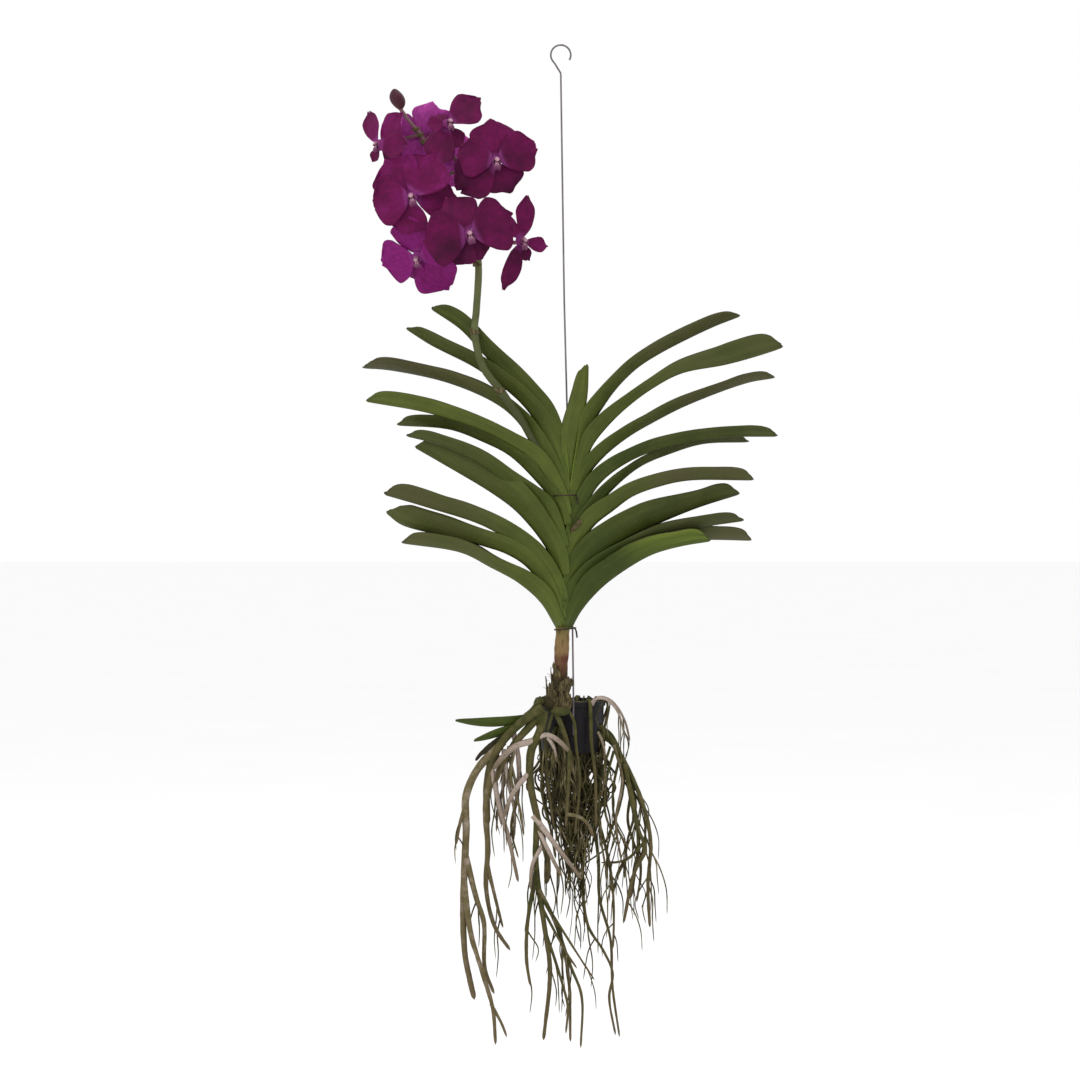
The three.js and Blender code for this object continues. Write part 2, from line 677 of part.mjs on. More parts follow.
function tieRing(x, y, z, acrossX, acrossY, tilt, grow) {
  const rings = [];
  for (let i = 0; i < TIE_STEPS; i += 1) {
    const angle = (i / TIE_STEPS) * 2 * Math.PI;
    const middle = new THREE.Vector3(
      x + acrossX * Math.cos(angle),
      y + acrossY * Math.sin(angle),
      z + tilt * Math.cos(angle),
    );
    const outwards = new THREE.Vector3(Math.cos(angle), Math.sin(angle), 0);
    rings.push(circle(middle, outwards, AXIS.z, TIE_RADIUS + grow, TIE_RADIUS + grow, 4));
  }
  return closedSkin(rings);
}

function upperTie(grow = 0) {
  return tieRing(7.5, STEM_Y + 3.5, -490, 13, 13.5, -2, grow);
}

function lowerTie(grow = 0) {
  const ring = tieRing(5.5, STEM_Y + 3, -637, 11, 11.5, 1.5, grow);
  const tail = strand([
    new THREE.Vector3(15.5, STEM_Y + 1, -635),
    new THREE.Vector3(17, STEM_Y - 3, -639),
    new THREE.Vector3(18, STEM_Y - 5, -646),
  ], () => TIE_RADIUS + grow, 5, 3);
  return fuse([ring, tail]);
}

// ---- pot ----

function pot(wireHole) {
  const floor = POT_RIM - POT_HEIGHT;
  const foot = POT_RADIUS - POT_TAPER;
  const outline = [
    [POT_DRAIN, floor],
    [foot, floor],
    [POT_RADIUS - 1, POT_RIM - 6],
    [POT_RADIUS + POT_LIP, POT_RIM - 6],
    [POT_RADIUS + POT_LIP, POT_RIM],
    [POT_RADIUS - POT_WALL, POT_RIM],
    [foot - POT_WALL, floor + 2],
    [POT_DRAIN, floor + 2],
    [POT_DRAIN, floor],
  ].map(([radius, z]) => new THREE.Vector2(radius, z));
  const shell = new THREE.LatheGeometry(outline, 20);
  shell.rotateX(Math.PI / 2);
  shell.translate(POT_CENTRE.x, POT_CENTRE.y, 0);
  let solid = toSolid(shell);
  for (let k = 0; k < POT_SLOTS; k += 1) {
    const angle = (k / POT_SLOTS) * 2 * Math.PI - SLOT_TURN;
    const slot = new THREE.BoxGeometry(12, 12, 22);
    slot.translate(POT_RADIUS - 3, 0, floor + 20);
    slot.rotateZ(angle);
    slot.translate(POT_CENTRE.x, POT_CENTRE.y, 0);
    solid = solid.subtract(toSolid(slot));
  }
  const eye = new THREE.CylinderGeometry(WIRE_RADIUS + GAP + 0.5, WIRE_RADIUS + GAP + 0.5, 14, 10);
  eye.translate(WIRE_FOOT.x, POT_CENTRE.y - POT_RADIUS, WIRE_FOOT.z);
  return solid.subtract(toSolid(eye)).subtract(wireHole);
}

// ---- roots ----

// Each root: radius at its start and at its tip, depth (y) at its start and at its tip, and the
// places that it passes, seen from the front.
const LEFT_ROOTS = [
  { r: [5, 4], y: [-33, -34], p: [[-22, -721], [-45, -738], [-66, -761], [-77, -783], [-82, -806],
    [-95, -852]] },
  { r: [4.6, 3], y: [-36, -50], p: [[-62, -757], [-90, -787], [-102, -815], [-102, -850],
    [-105, -935], [-103, -985], [-93, -1032]] },
  { r: [2.4, 1.4], y: [-44, -50], p: [[-101, -818], [-109, -846], [-112, -866]] },
  { r: [4, 2], y: [-34, -20], p: [[-74, -778], [-81, -828], [-79, -873], [-81, -917], [-72, -958],
    [-55, -985]] },
  { r: [3.4, 1.8], y: [-46, -34], p: [[-102, -880], [-91, -925], [-83, -951], [-82, -1000],
    [-72, -1029]] },
  { r: [3.4, 1.8], y: [-47, -62], p: [[-104, -905], [-97, -959], [-84, -1003], [-73, -1040],
    [-70, -1078]] },
  { r: [2, 1.2], y: [-58, -52], p: [[-75, -1035], [-64, -1056], [-58, -1072]] },
  { r: [2.6, 1.4], y: [-28, -12], p: [[-80, -890], [-69, -937], [-63, -962]] },
  { r: [3.2, 1.8], y: [-34, -44], p: [[-76, -780], [-66, -828], [-57, -858], [-46, -907]] },
  { r: [3, 2], y: [-34, -20], p: [[-52, -744], [-46, -776], [-46, -806], [-51, -836]] },
];

const CENTRE_ROOTS = [
  { r: [5, 3], y: [-36, -40], p: [[-18, -724], [-23, -747], [-32, -766], [-33, -802], [-24, -845],
    [-14, -890], [-16, -910]] },
  { r: [3.6, 2], y: [-40, -40], p: [[-26, -840], [-27, -890], [-18, -955], [-12, -1003], [-19, -1078]] },
  { r: [2.6, 1.6], y: [-40, -52], p: [[-27, -900], [-36, -950], [-37, -990], [-33, -1017]] },
  { r: [2.6, 1.4], y: [-40, -34], p: [[-24, -915], [-3, -960], [8, -1010], [10, -1080]] },
  { r: [1.8, 1.2], y: [-40, -46], p: [[-17, -960], [0, -1012], [7, -1040], [5, -1069]] },
  { r: [2, 1.2], y: [-38, -42], p: [[-4, -957], [10, -998], [22, -1030], [21, -1085]] },
  { r: [1.8, 1], y: [-40, -50], p: [[-22, -932], [4, -980], [17, -999]] },
  { r: [1.6, 1], y: [-40, -46], p: [[-20, -925], [16, -982], [36, -1012]] },
  { r: [3.4, 1.8], y: [-40, -50], p: [[-30, -828], [-11, -853], [3, -869], [24, -897]] },
  { r: [2.6, 1.6], y: [-40, -56], p: [[-25, -846], [-9, -872], [6, -894]] },
  { r: [2.6, 1.6], y: [-40, -54], p: [[-19, -866], [-31, -889], [-33, -913]] },
  { r: [3.8, 2.6], y: [-36, -46], p: [[-23, -748], [-50, -760], [-64, -772], [-72, -787]] },
  { r: [3.4, 2.2], y: [-38, -50], p: [[-33, -786], [-50, -808], [-60, -836]] },
  { r: [3.2, 2], y: [-38, -46], p: [[-23, -750], [-14, -745], [1, -755], [9, -767], [7, -800],
    [5, -848]] },
  { r: [2.2, 1.6], y: [-40, -42], p: [[-16, -747], [-8, -757], [-4, -777]] },
];

const FRONT_ROOTS = [
  { r: [2.8, 2], y: [-35, -34], p: [[-6, -724], [5, -753], [12, -790]] },
  { r: [3, 2.2], y: [-36, -34], p: [[2, -723], [24, -728], [30, -742], [30, -780]] },
  { r: [3, 1.8], y: [-36, -28], p: [[5, -722], [31, -722], [41, -740], [42, -780], [39, -804]] },
  { r: [2.4, 1.4], y: [-36, -20], p: [[5, -721], [30, -713], [54, -719], [66, -735], [73, -758]] },
  { r: [2, 1.2], y: [-37, -38], p: [[5, -721], [26, -712], [46, -713], [61, -726], [69, -746]] },
  { r: [1.8, 1.1], y: [-36, -30], p: [[-7, -726], [-11, -750], [-12, -800], [-8, -850]] },
  { r: [1.8, 1.1], y: [-38, -30], p: [[-3, -726], [-3, -760], [-4, -810], [2, -866]] },
  { r: [1.8, 1.1], y: [-37, -26], p: [[4, -724], [18, -746], [20, -800], [15, -858]] },
  { r: [1.8, 1.1], y: [-35, -24], p: [[6, -723], [35, -735], [37, -790], [31, -850]] },
  { r: [1.8, 1.1], y: [-34, -12], p: [[7, -722], [38, -728], [48, -765], [52, -820], [46, -866]] },
];
const FRONT_KNUCKLE = { x: -1, y: -38, z: -724, rx: 10, ry: 5, rz: 5 };

// These leave the pot by its slot to the right and front.
const RIGHT_ROOTS = [
  { r: [3, 1.6], y: [10, -8], p: [[34, -750], [50, -753], [61, -768], [74, -791], [90, -830], [98, -870],
    [95, -917], [97, -962]] },
  { r: [2.6, 1.4], y: [10, 4], p: [[34, -757], [52, -759], [68, -787], [65, -828], [48, -874]] },
  { r: [2.8, 1.6], y: [-2, -10], p: [[70, -784], [84, -855], [92, -876], [80, -903], [68, -957]] },
  { r: [2.4, 1.4], y: [-4, 6], p: [[76, -812], [85, -862], [81, -905], [77, -932]] },
  { r: [2, 1.2], y: [-8, 4], p: [[94, -866], [70, -890], [44, -893]] },
  { r: [2.2, 1.2], y: [8, 24], p: [[36, -746], [52, -750], [66, -775], [77, -810], [74, -850], [88, -900],
    [84, -940]] },
  { r: [2, 1.1], y: [2, -8], p: [[58, -764], [67, -800], [60, -848], [66, -890]] },
  { r: [2, 1.1], y: [4, 12], p: [[68, -779], [82, -830], [73, -872], [70, -912]] },
];

const TANGLE = {
  seed: 7,
  strands: 21,
  floor: POT_RIM - POT_HEIGHT,
  start: 10, // from the pot's axis to where each strand leaves the neck
  radius: [1.8, 1],
};

const LONG_TANGLE = [
  { r: [2.4, 1.2], y: [10, 4], p: [[16, -800], [23, -880], [29, -960], [48, -992], [57, -1015],
    [53, -1040], [60, -1082]] },
  { r: [2.2, 1.2], y: [16, 22], p: [[26, -800], [41, -885], [43, -935], [55, -980], [57, -1030],
    [65, -1088]] },
  { r: [2.2, 1.2], y: [6, -4], p: [[24, -800], [42, -850], [55, -905], [58, -950], [57, -986]] },
];

function rootStrand(root, grow, sides) {
  const count = root.p.length - 1;
  const depthAt = (i) => THREE.MathUtils.lerp(root.y[0], root.y[1], i / count);
  const points = root.p.map(([x, z], i) => new THREE.Vector3(
    x,
    depthAt(i) + 2 * Math.sin(x * 0.11 + z * 0.05) * Math.min(1, i),
    z,
  ));
  const length = new THREE.CatmullRomCurve3(points, false, "centripetal").getLength();
  const steps = Math.max(3, Math.round(length / 24));
  const radiusAt = (t) => {
    const knots = 1 + 0.1 * Math.sin(t * steps * 2.2 + root.p[0][0]);
    const point = t > 0.999 ? 0.55 : 1;
    return THREE.MathUtils.lerp(root.r[0], root.r[1], t) * knots * point + grow;
  };
  return strand(points, radiusAt, sides, steps);
}

function rootBundle(roots, grow = 0, extra = []) {
  const strands = roots.map((root) => rootStrand(root, grow, root.r[0] > 4 ? 5 : 4));
  return fuse([...strands, ...extra]);
}

function frontRoots(grow = 0) {
  const { x, y, z, rx, ry, rz } = FRONT_KNUCKLE;
  const knuckle = lump(x, y, z, rx + grow, ry + grow, rz + grow, 6);
  return rootBundle(FRONT_ROOTS, grow, [knuckle]);
}

// The dense tangle: a root ball in the pot, a neck through its floor, and fine roots that hang
// from it, drawn at random but always to the same draw.
function tangle(grow = 0) {
  const random = makeRandom(TANGLE.seed);
  const { x, y } = POT_CENTRE;
  const profile = [
    [24, POT_RIM - 5],
    [33, POT_RIM - 9],
    [31, TANGLE.floor + 3],
    [17, TANGLE.floor + 2.4],
    [17, TANGLE.floor - 10],
    [12, TANGLE.floor - 32],
  ];
  const ball = roundSkin(profile.map(([radius, z], i) => circle(
    new THREE.Vector3(x, y, z + (i === 0 ? grow : 0)),
    AXIS.x,
    AXIS.y,
    radius + grow,
    radius + grow,
    12,
  )));
  const strands = [];
  for (let k = 0; k < TANGLE.strands; k += 1) {
    const turn = random() * 2 * Math.PI;
    const reach = 8 + 24 * Math.sqrt(random());
    const drop = 60 + 85 * random();
    const foot = new THREE.Vector3(
      x + TANGLE.start * Math.cos(turn),
      y + TANGLE.start * Math.sin(turn),
      TANGLE.floor - 6 - 10 * random(),
    );
    const points = [foot];
    for (let i = 1; i <= 4; i += 1) {
      const share = i / 4;
      const spread = reach * Math.sin((Math.PI * (0.25 + 0.6 * share)) / 1.1);
      points.push(new THREE.Vector3(
        x + spread * Math.cos(turn) + 7 * (random() - 0.5),
        y + spread * Math.sin(turn) * 0.8 + 7 * (random() - 0.5),
        foot.z - drop * share,
      ));
    }
    const [thick, thin] = TANGLE.radius;
    strands.push(strand(points, (t) => THREE.MathUtils.lerp(thick, thin, t) + grow, 3, 4));
  }
  return fuse([ball, ...strands, rootBundle(LONG_TANGLE, grow), rootBundle(RIGHT_ROOTS, grow)]);
}

// ---- assembly ----

const FINISH = {
  wire: { color: 0x8d878c, roughness: 0.4, metalness: 1 },
  tie: { color: 0x4a3a34, roughness: 0.6, metalness: 0.6 },
  pot: { color: 0x241f28, roughness: 0.5, metalness: 0 },
  leaf: { color: 0x4a6429, roughness: 0.45, metalness: 0 },
  sheath: { color: 0x5f7a2c, roughness: 0.5, metalness: 0 },
  bark: { color: 0x7a5640, roughness: 0.9, metalness: 0 },
  dead: { color: 0x2e2a1e, roughness: 0.8, metalness: 0 },
  spike: { color: 0x76864e, roughness: 0.5, metalness: 0 },
  tepal: { color: 0x761a5c, roughness: 0.5, metalness: 0 },
  lip: { color: 0xb25fa0, roughness: 0.45, metalness: 0 },
  bud: { color: 0x5a2638, roughness: 0.5, metalness: 0 },
  root: { color: 0x6a6a44, roughness: 0.8, metalness: 0 },
};

const vanda = new THREE.Group();

function add(name, solid, finish) {
  const mesh = new THREE.Mesh(toGeometry(solid), new THREE.MeshStandardMaterial(FINISH[finish]));
  mesh.name = name;
  vanda.add(mesh);
}

const number = (i) => String(i + 1).padStart(2, "0");

const wireGrown = hangerWire(GAP);
const tiesGrown = [upperTie(GAP), lowerTie(GAP)];
const spikeGrown = flowerSpike(GAP);
const leafyGrown = leafyStem(GAP);
const oldGrown = oldStem(GAP);

add("hanger_wire", hangerWire(), "wire");
add("tie_upper", clearOf(upperTie(), [wireGrown]), "tie");
add("tie_lower", clearOf(lowerTie(), [wireGrown]), "tie");
add("stem_leafy", clearOf(leafyStem(), [wireGrown, ...tiesGrown, spikeGrown]), "sheath");
add("flower_spike", flowerSpike(), "spike");
add("bud", bud(), "bud");

// Leaves are trimmed from the lowest up, so that each lower one clasps those above it.
const leaves = [
  ...leftLeaves.map((leaf, i) => ({ leaf, name: `leaf_left_${number(i)}` })),
  ...rightLeaves.map((leaf, i) => ({ leaf, name: `leaf_right_${number(i)}` })),
  { leaf: crownLeaf, name: "leaf_crown" },
].sort((one, other) => one.leaf.node - other.leaf.node);
const around = [wireGrown, ...tiesGrown, spikeGrown, leafyGrown];
const placed = [];
for (const { leaf, name } of leaves) {
  add(name, clearOf(leafBlade(leaf), [...around, ...placed]), "leaf");
  placed.push(leafBlade(leaf, GAP));
}

// Blooms: each one is trimmed by those set before it.
const bloomsPlaced = [];
BLOOMS.forEach((bloom, i) => {
  add(`bloom_${i + 1}_lip`, clearOf(bloomLip(bloom), [bloomTepals(bloom, GAP)]), "lip");
  const neighbours = [spikeGrown, bud(GAP), ...bloomsPlaced];
  add(`bloom_${i + 1}_tepals`, clearOf(bloomTepals(bloom), neighbours), "tepal");
  bloomsPlaced.push(bloomTepals(bloom, GAP), bloomLip(bloom, GAP));
});

add("stem_old", clearOf(oldStem(), [wireGrown, ...tiesGrown, leafyGrown]), "bark");
add("offshoot", clearOf(offshootGreen(), [oldGrown]), "leaf");
add("offshoot_dead_leaf", clearOf(offshootDead(), [offshootGreen(GAP)]), "dead");
const potSolid = pot(wireGrown);
add("pot", potSolid, "pot");

const offshootGrown = [offshootGreen(GAP), offshootDead(GAP)];
const potGrown = potEnvelope();
const rootsAround = [wireGrown, oldGrown, potGrown, ...offshootGrown];

function potEnvelope() {
  const top = POT_RADIUS + POT_LIP + GAP;
  const bottom = POT_RADIUS - POT_TAPER + GAP;
  const outer = new THREE.CylinderGeometry(top, bottom, POT_HEIGHT + 2 * GAP, 24);
  outer.rotateX(Math.PI / 2);
  outer.translate(POT_CENTRE.x, POT_CENTRE.y, POT_RIM - POT_HEIGHT / 2);
  return toSolid(outer);
}

const centreGrown = rootBundle(CENTRE_ROOTS, GAP);
const leftGrown = rootBundle(LEFT_ROOTS, GAP);
const frontGrown = frontRoots(GAP);
add("roots_left", clearOf(rootBundle(LEFT_ROOTS), rootsAround), "root");
add("roots_centre", clearOf(rootBundle(CENTRE_ROOTS), [...rootsAround, leftGrown]), "root");
add("roots_front", clearOf(frontRoots(), [...rootsAround, leftGrown, centreGrown]), "root");
add("roots_pot", clearOf(tangle(), [wireGrown, oldGrown, centreGrown, frontGrown, potSolid]), "root");

export default vanda;
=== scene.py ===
import math
import random

import bmesh
import bpy
from bpy.props import FloatProperty, FloatVectorProperty, IntProperty, PointerProperty
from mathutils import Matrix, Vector, noise


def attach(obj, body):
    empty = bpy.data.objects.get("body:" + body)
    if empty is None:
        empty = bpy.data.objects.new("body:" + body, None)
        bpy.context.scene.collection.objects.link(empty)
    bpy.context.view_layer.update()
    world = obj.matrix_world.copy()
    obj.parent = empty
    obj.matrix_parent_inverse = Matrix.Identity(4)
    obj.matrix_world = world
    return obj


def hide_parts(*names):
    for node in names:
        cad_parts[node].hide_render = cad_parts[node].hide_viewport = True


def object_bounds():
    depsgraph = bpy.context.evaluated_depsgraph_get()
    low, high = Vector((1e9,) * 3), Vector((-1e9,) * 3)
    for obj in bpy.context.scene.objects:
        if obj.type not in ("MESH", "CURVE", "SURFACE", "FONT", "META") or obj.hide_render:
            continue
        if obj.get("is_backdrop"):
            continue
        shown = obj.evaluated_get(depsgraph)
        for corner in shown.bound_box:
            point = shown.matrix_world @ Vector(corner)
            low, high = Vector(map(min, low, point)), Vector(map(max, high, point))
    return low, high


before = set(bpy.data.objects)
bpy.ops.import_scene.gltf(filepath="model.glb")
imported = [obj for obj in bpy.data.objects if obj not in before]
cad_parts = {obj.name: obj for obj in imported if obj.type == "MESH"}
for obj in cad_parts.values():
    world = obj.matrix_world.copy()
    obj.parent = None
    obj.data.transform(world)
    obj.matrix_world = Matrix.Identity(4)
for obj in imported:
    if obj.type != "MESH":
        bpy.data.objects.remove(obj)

bl_info = {
    "name": "Hanging vanda orchid",
    "version": (1, 0, 0),
    "blender": (4, 5, 0),
    "location": "3D View > Sidebar > Vanda",
    "description": "Dresses the solids of a vanda orchid that hangs on a wire",
    "category": "Object",
}

CAD_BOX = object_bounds()
MM = 0.001  # the tables below are in millimetres, in the frame of the solids
X_AXIS = Vector((1, 0, 0))
Y_AXIS = Vector((0, 1, 0))
Z_AXIS = Vector((0, 0, 1))

# ---- the plant's own measures, in millimetres ----

STEM_Y = -26  # the plane of the stem and of the two ranks of leaves
STEM_TOP = (12, -443)
STEM_FOOT = (3, -633)
ROOT_CROWN = (-3, -718)
POT_CENTRE = (12, 18)
POT_RIM = -716
SLOT_TURNS = (-112, -22, 68, 158)  # where the pot's slots are, in degrees
WIRE_ROUTE = [
    (0, 0, -30), (3.7, -8, -280), (8.6, -13.6, -470), (12.6, -18.4, -635), (13.5, -21.2, -705),
    (13.5, -21.2, -745), (13.5, -20, -750.6), (13.5, -16.7, -752), (13.5, -13.2, -750.6),
    (13.5, -12.2, -746),
]

# Each leaf, youngest first: height where its front edges leave the stem's axis and how fast they
# do, width seen from the front near its base, at mid-length and near its tip, how far its halves
# open there (degrees), roll (degrees), depth of the tip, how grey-brown its outer half is (or
# how yellow, below 0), and the places (x, z) that its keel passes.
LEFT_LEAVES = [
    (-484, 0.11, (17, 17.5, 13), (34, 48), 5, -6, 0.1,
     [(2, -488), (-3, -457), (-11, -428), (-23, -403), (-38, -386), (-62, -361), (-85, -337),
      (-107, -313), (-139, -291)]),
    (-480, 0.2, (18, 14.5, 11), (34, 50), 5, 4, 0.35,
     [(1, -489), (-5, -461), (-16, -433), (-28, -410), (-43, -391), (-65, -372), (-94, -352),
      (-141, -328), (-166, -312)]),
    (-488, 0.25, (17, 11, 9), (44, 58), -6, -4, 1.0,
     [(1, -503), (-5, -486), (-16, -462), (-28, -440), (-46, -412), (-68, -393), (-120, -370),
      (-185, -356), (-212, -354)]),
    (-495, 0.4, (15, 12, 14), (34, 46), 8, -16, 0.0,
     [(1, -514), (-3, -497), (-14, -475), (-29, -454), (-55, -436), (-85, -421), (-141, -403),
      (-208, -391)]),
    (-500, 0.6, (15, 11, 11), (36, 50), 0, 10, 0.3,
     [(-1, -525), (-5, -509), (-14, -491), (-26, -476), (-55, -448), (-85, -432.5), (-120, -419.5),
      (-176, -415)]),
    (-537, 0.3, (20, 13, 10), (40, 52), 4, -10, 0.3,
     [(-3, -550), (-8, -534), (-21, -512), (-46, -487.5), (-72, -467.5), (-98, -451), (-133, -436),
      (-165, -428)]),
    (-545, 0.5, (24, 27, 21), (40, 50), 24, 12, 0.35,
     [(-4, -580), (-9, -563), (-18, -544), (-46, -510), (-72, -490), (-129, -456), (-157, -440)]),
    (-583, 0.5, (18, 16, 16), (32, 44), 10, -14, 0.8,
     [(-5, -607), (-10, -592), (-21, -572), (-38, -553), (-81, -525), (-141, -505), (-189, -491)]),
    (-610, 0.35, (15, 17, 22), (38, 54), 24, 4, 0.6,
     [(-5, -626), (-10, -610), (-21, -588), (-38, -567), (-59, -554), (-83, -546), (-116, -537),
      (-172, -523), (-188, -511)]),
    (-626, 0.35, (18, 12, 12), (40, 52), 0, -8, 0.6,
     [(-4, -635), (-21, -607), (-46, -585), (-77, -568), (-107, -553), (-170, -543)]),
]
RIGHT_LEAVES = [
    (-475, 0.1, (19, 12, 11), (36, 48), 4, 12, 0.9,
     [(16, -486), (17, -467), (23, -443), (31, -419), (44, -397), (59, -376), (81, -354),
      (107, -337), (163, -309), (193, -297)]),
    (-484, 0.15, (16, 10, 21), (38, 62), 30, -14, 0.5,
     [(16, -497), (18, -481), (25, -460), (33, -438), (51, -415), (72, -395), (98, -376),
      (129, -360), (180, -350), (237, -333)]),
    (-490, 0.2, (14, 10, 8), (42, 58), 0, 6, 0.9,
     [(16, -513), (18, -501), (23, -487), (29, -470), (46, -449), (72, -428), (103, -410),
      (137, -393), (202, -369), (230, -364)]),
    (-499, 0.5, (15, 11, 10), (38, 52), 6, -12, 0.3,
     [(15, -535), (18, -519), (27, -501), (39, -481), (55, -466), (81, -450.5), (116, -438.5),
      (172, -429), (231, -428)]),
    (-518, 0.6, (12, 7, 8), (36, 48), 0, 12, 0.6,
     [(14, -545), (21, -529), (36, -508), (55, -485), (85, -460), (120, -445), (154, -435),
      (202, -433)]),
    (-538, 0.4, (18, 13, 12), (34, 48), 6, -8, 1.0,
     [(13, -568), (16, -557), (23, -542), (36, -523), (55, -508), (77, -492), (107, -481),
      (137, -475), (206, -475)]),
    (-556, 0.6, (28, 27, 16), (34, 48), 12, 10, 0.3,
     [(12, -599), (16, -588), (28, -570), (49, -551), (75, -536), (100, -524), (146, -505),
      (193, -490)]),
    (-578, 0.66, (19, 11, 10), (36, 50), 0, -6, 0.6,
     [(11, -616), (16, -605), (29, -588), (55, -565), (85, -544), (111, -533.5), (141, -527),
      (195, -519)]),
    (-596, 0.7, (18, 14, 12), (40, 56), 0, 14, 0.8,
     [(10, -626), (17, -612), (36, -592), (64, -568), (96, -550), (129, -541), (161, -539),
      (206, -540)]),
    (-618, 0.35, (24, 21, 15), (34, 46), 10, -10, -1.2,
     [(10, -636), (21, -616), (42, -592), (68, -572), (98, -555), (129, -546), (159, -541)]),
]
CROWN_LEAF = (
    -482, 0.0, (13, 19, 17), (13, 24), 0, -4, 0.1,
    [(11, -482), (14, -448), (19, -421), (25, -400), (28, -380), (29, -352)],
)
# How the leaves clasp the stem: how far off the axis the front edges of the youngest lie there
# and how much further each older one's do, with room for the spike inside from the fourth left
# leaf on; and how far past the axis the edges reach, for the left (-1) and right (1) ranks.
CLASP_DEPTH = 4.2
CLASP_STEP = 0.5
SPIKE_ROOM = 2.2
CLASP_PAST = {-1: 3.6, 1: 2.6}
# How light each leaf is: the left rank, then the crown leaf and the right rank.
LEAF_TONES = {
    -1: (0.3, 0.45, 0.45, 0.75, 0.35, 0.35, 0.5, 0.5, 0.65, 0.6),
    1: (0.75, 0.5, 0.4, 0.35, 0.15, 0.15, 0.6, 0.15, 0.0, 0.3, 0.05),
}

# Each bloom: middle of the face, the way it faces, roll of the dorsal sepal (degrees to the
# left), size, height on the rachis that its stalk leaves from, how light its colour is.
BLOOMS = [
    ((-196, -32, -114), (-0.7, -0.7, 0.1), 0, 35, -104, 0.55),
    ((-150, -12, -103), (-0.1, 0.92, 0.3), -12, 40, -98, 0.6),
    ((-122, -34, -92), (0.4, -0.82, 0.3), 0, 43, -112, 0.5),
    ((-112, 8, -128), (0.3, 0.9, -0.3), 0, 38, -126, 0.6),
    ((-70, -52, -135), (0.2, -0.96, 0.05), 0, 45, -150, 0.44),
    ((-158.7, -66, -175.5), (-0.1, -0.98, 0), 16, 46, -172, 0.64),
    ((-97.2, -84, -218), (0.1, -0.98, 0.05), 14, 46, -204, 0.36),
    ((-154, -38, -235), (-0.25, -0.8, -0.55), 0, 43, -222, 1.0),
    ((-43, -20, -216), (0.55, -0.8, 0), 0, 42, -190, 0.45),
]
# The five tepals of each bloom, from its dorsal sepal: turn (degrees to the left), length,
# width, lean towards the front (degrees).
TEPALS = [
    [(-38, 42, 32, 0), (32, 48, 24, 0), (-98, 44, 30, -6), (146, 20, 16, 0), (-128, 40, 26, 0)],
    [(27, 40, 38, 0), (57, 42, 36, -5), (-60, 36, 38, 0), (140, 42, 40, 0), (-132, 44, 46, 0)],
    [(30, 16, 16, -14), (92, 24, 19, -14), (-52, 53, 37, 4), (156, 56, 35, 4), (-136, 28, 24, -8)],
    [(0, 36, 34, 0), (73, 34, 36, 0), (-73, 36, 36, 0), (146, 34, 34, 0), (-146, 34, 34, 0)],
    [(4, 46, 52, 0), (80, 42, 46, -8), (-68, 49, 46, 2), (126, 52, 50, -6), (-150, 36, 44, 0)],
    [(21, 50, 56, 0), (82, 44, 54, 0), (-46, 52, 54, -4), (150, 40, 48, -4), (-106, 46, 46, -8)],
    [(14, 47, 48, -8), (84, 50, 60, 0), (-82, 51, 60, 2), (140, 34, 36, -6), (-165, 28, 30, -6)],
    [(4, 48, 46, 6), (98, 44, 52, 0), (-80, 36, 36, -6), (150, 34, 28, -4), (-150, 50, 58, 4)],
    [(-8, 52, 24, 10), (44, 42, 20, -4), (-98, 32, 17, 10), (160, 58, 22, 0), (-146, 24, 16, 0)],
]
TEPAL_RISES = [-1.6, 2, 2, -1.4, -4]  # height of each tepal's claw on the face
CLAW_START = 4.6
HUB = [(-5.5, 2.6), (-2.5, 6), (0.5, 6.2), (2.8, 5)]  # height on the face, radius

PEDUNCLE = [
    (-2, -25, -476), (-9, -25, -465), (-21, -26, -447), (-32, -32, -430), (-44, -41, -409),
    (-64, -46, -381), (-84, -45, -354), (-93, -42, -316), (-91, -40, -292), (-90, -40, -231),
    (-103, -40, -200), (-120, -40, -168), (-151, -40, -104), (-158, -40, -96),
]
PEDUNCLE_RADIUS = 3.9
RACHIS_RADIUS = 2.2
BUD_AT = (-177, -38, -66)
BUD_LENGTH = 22
BUD_RADIUS = 8.4

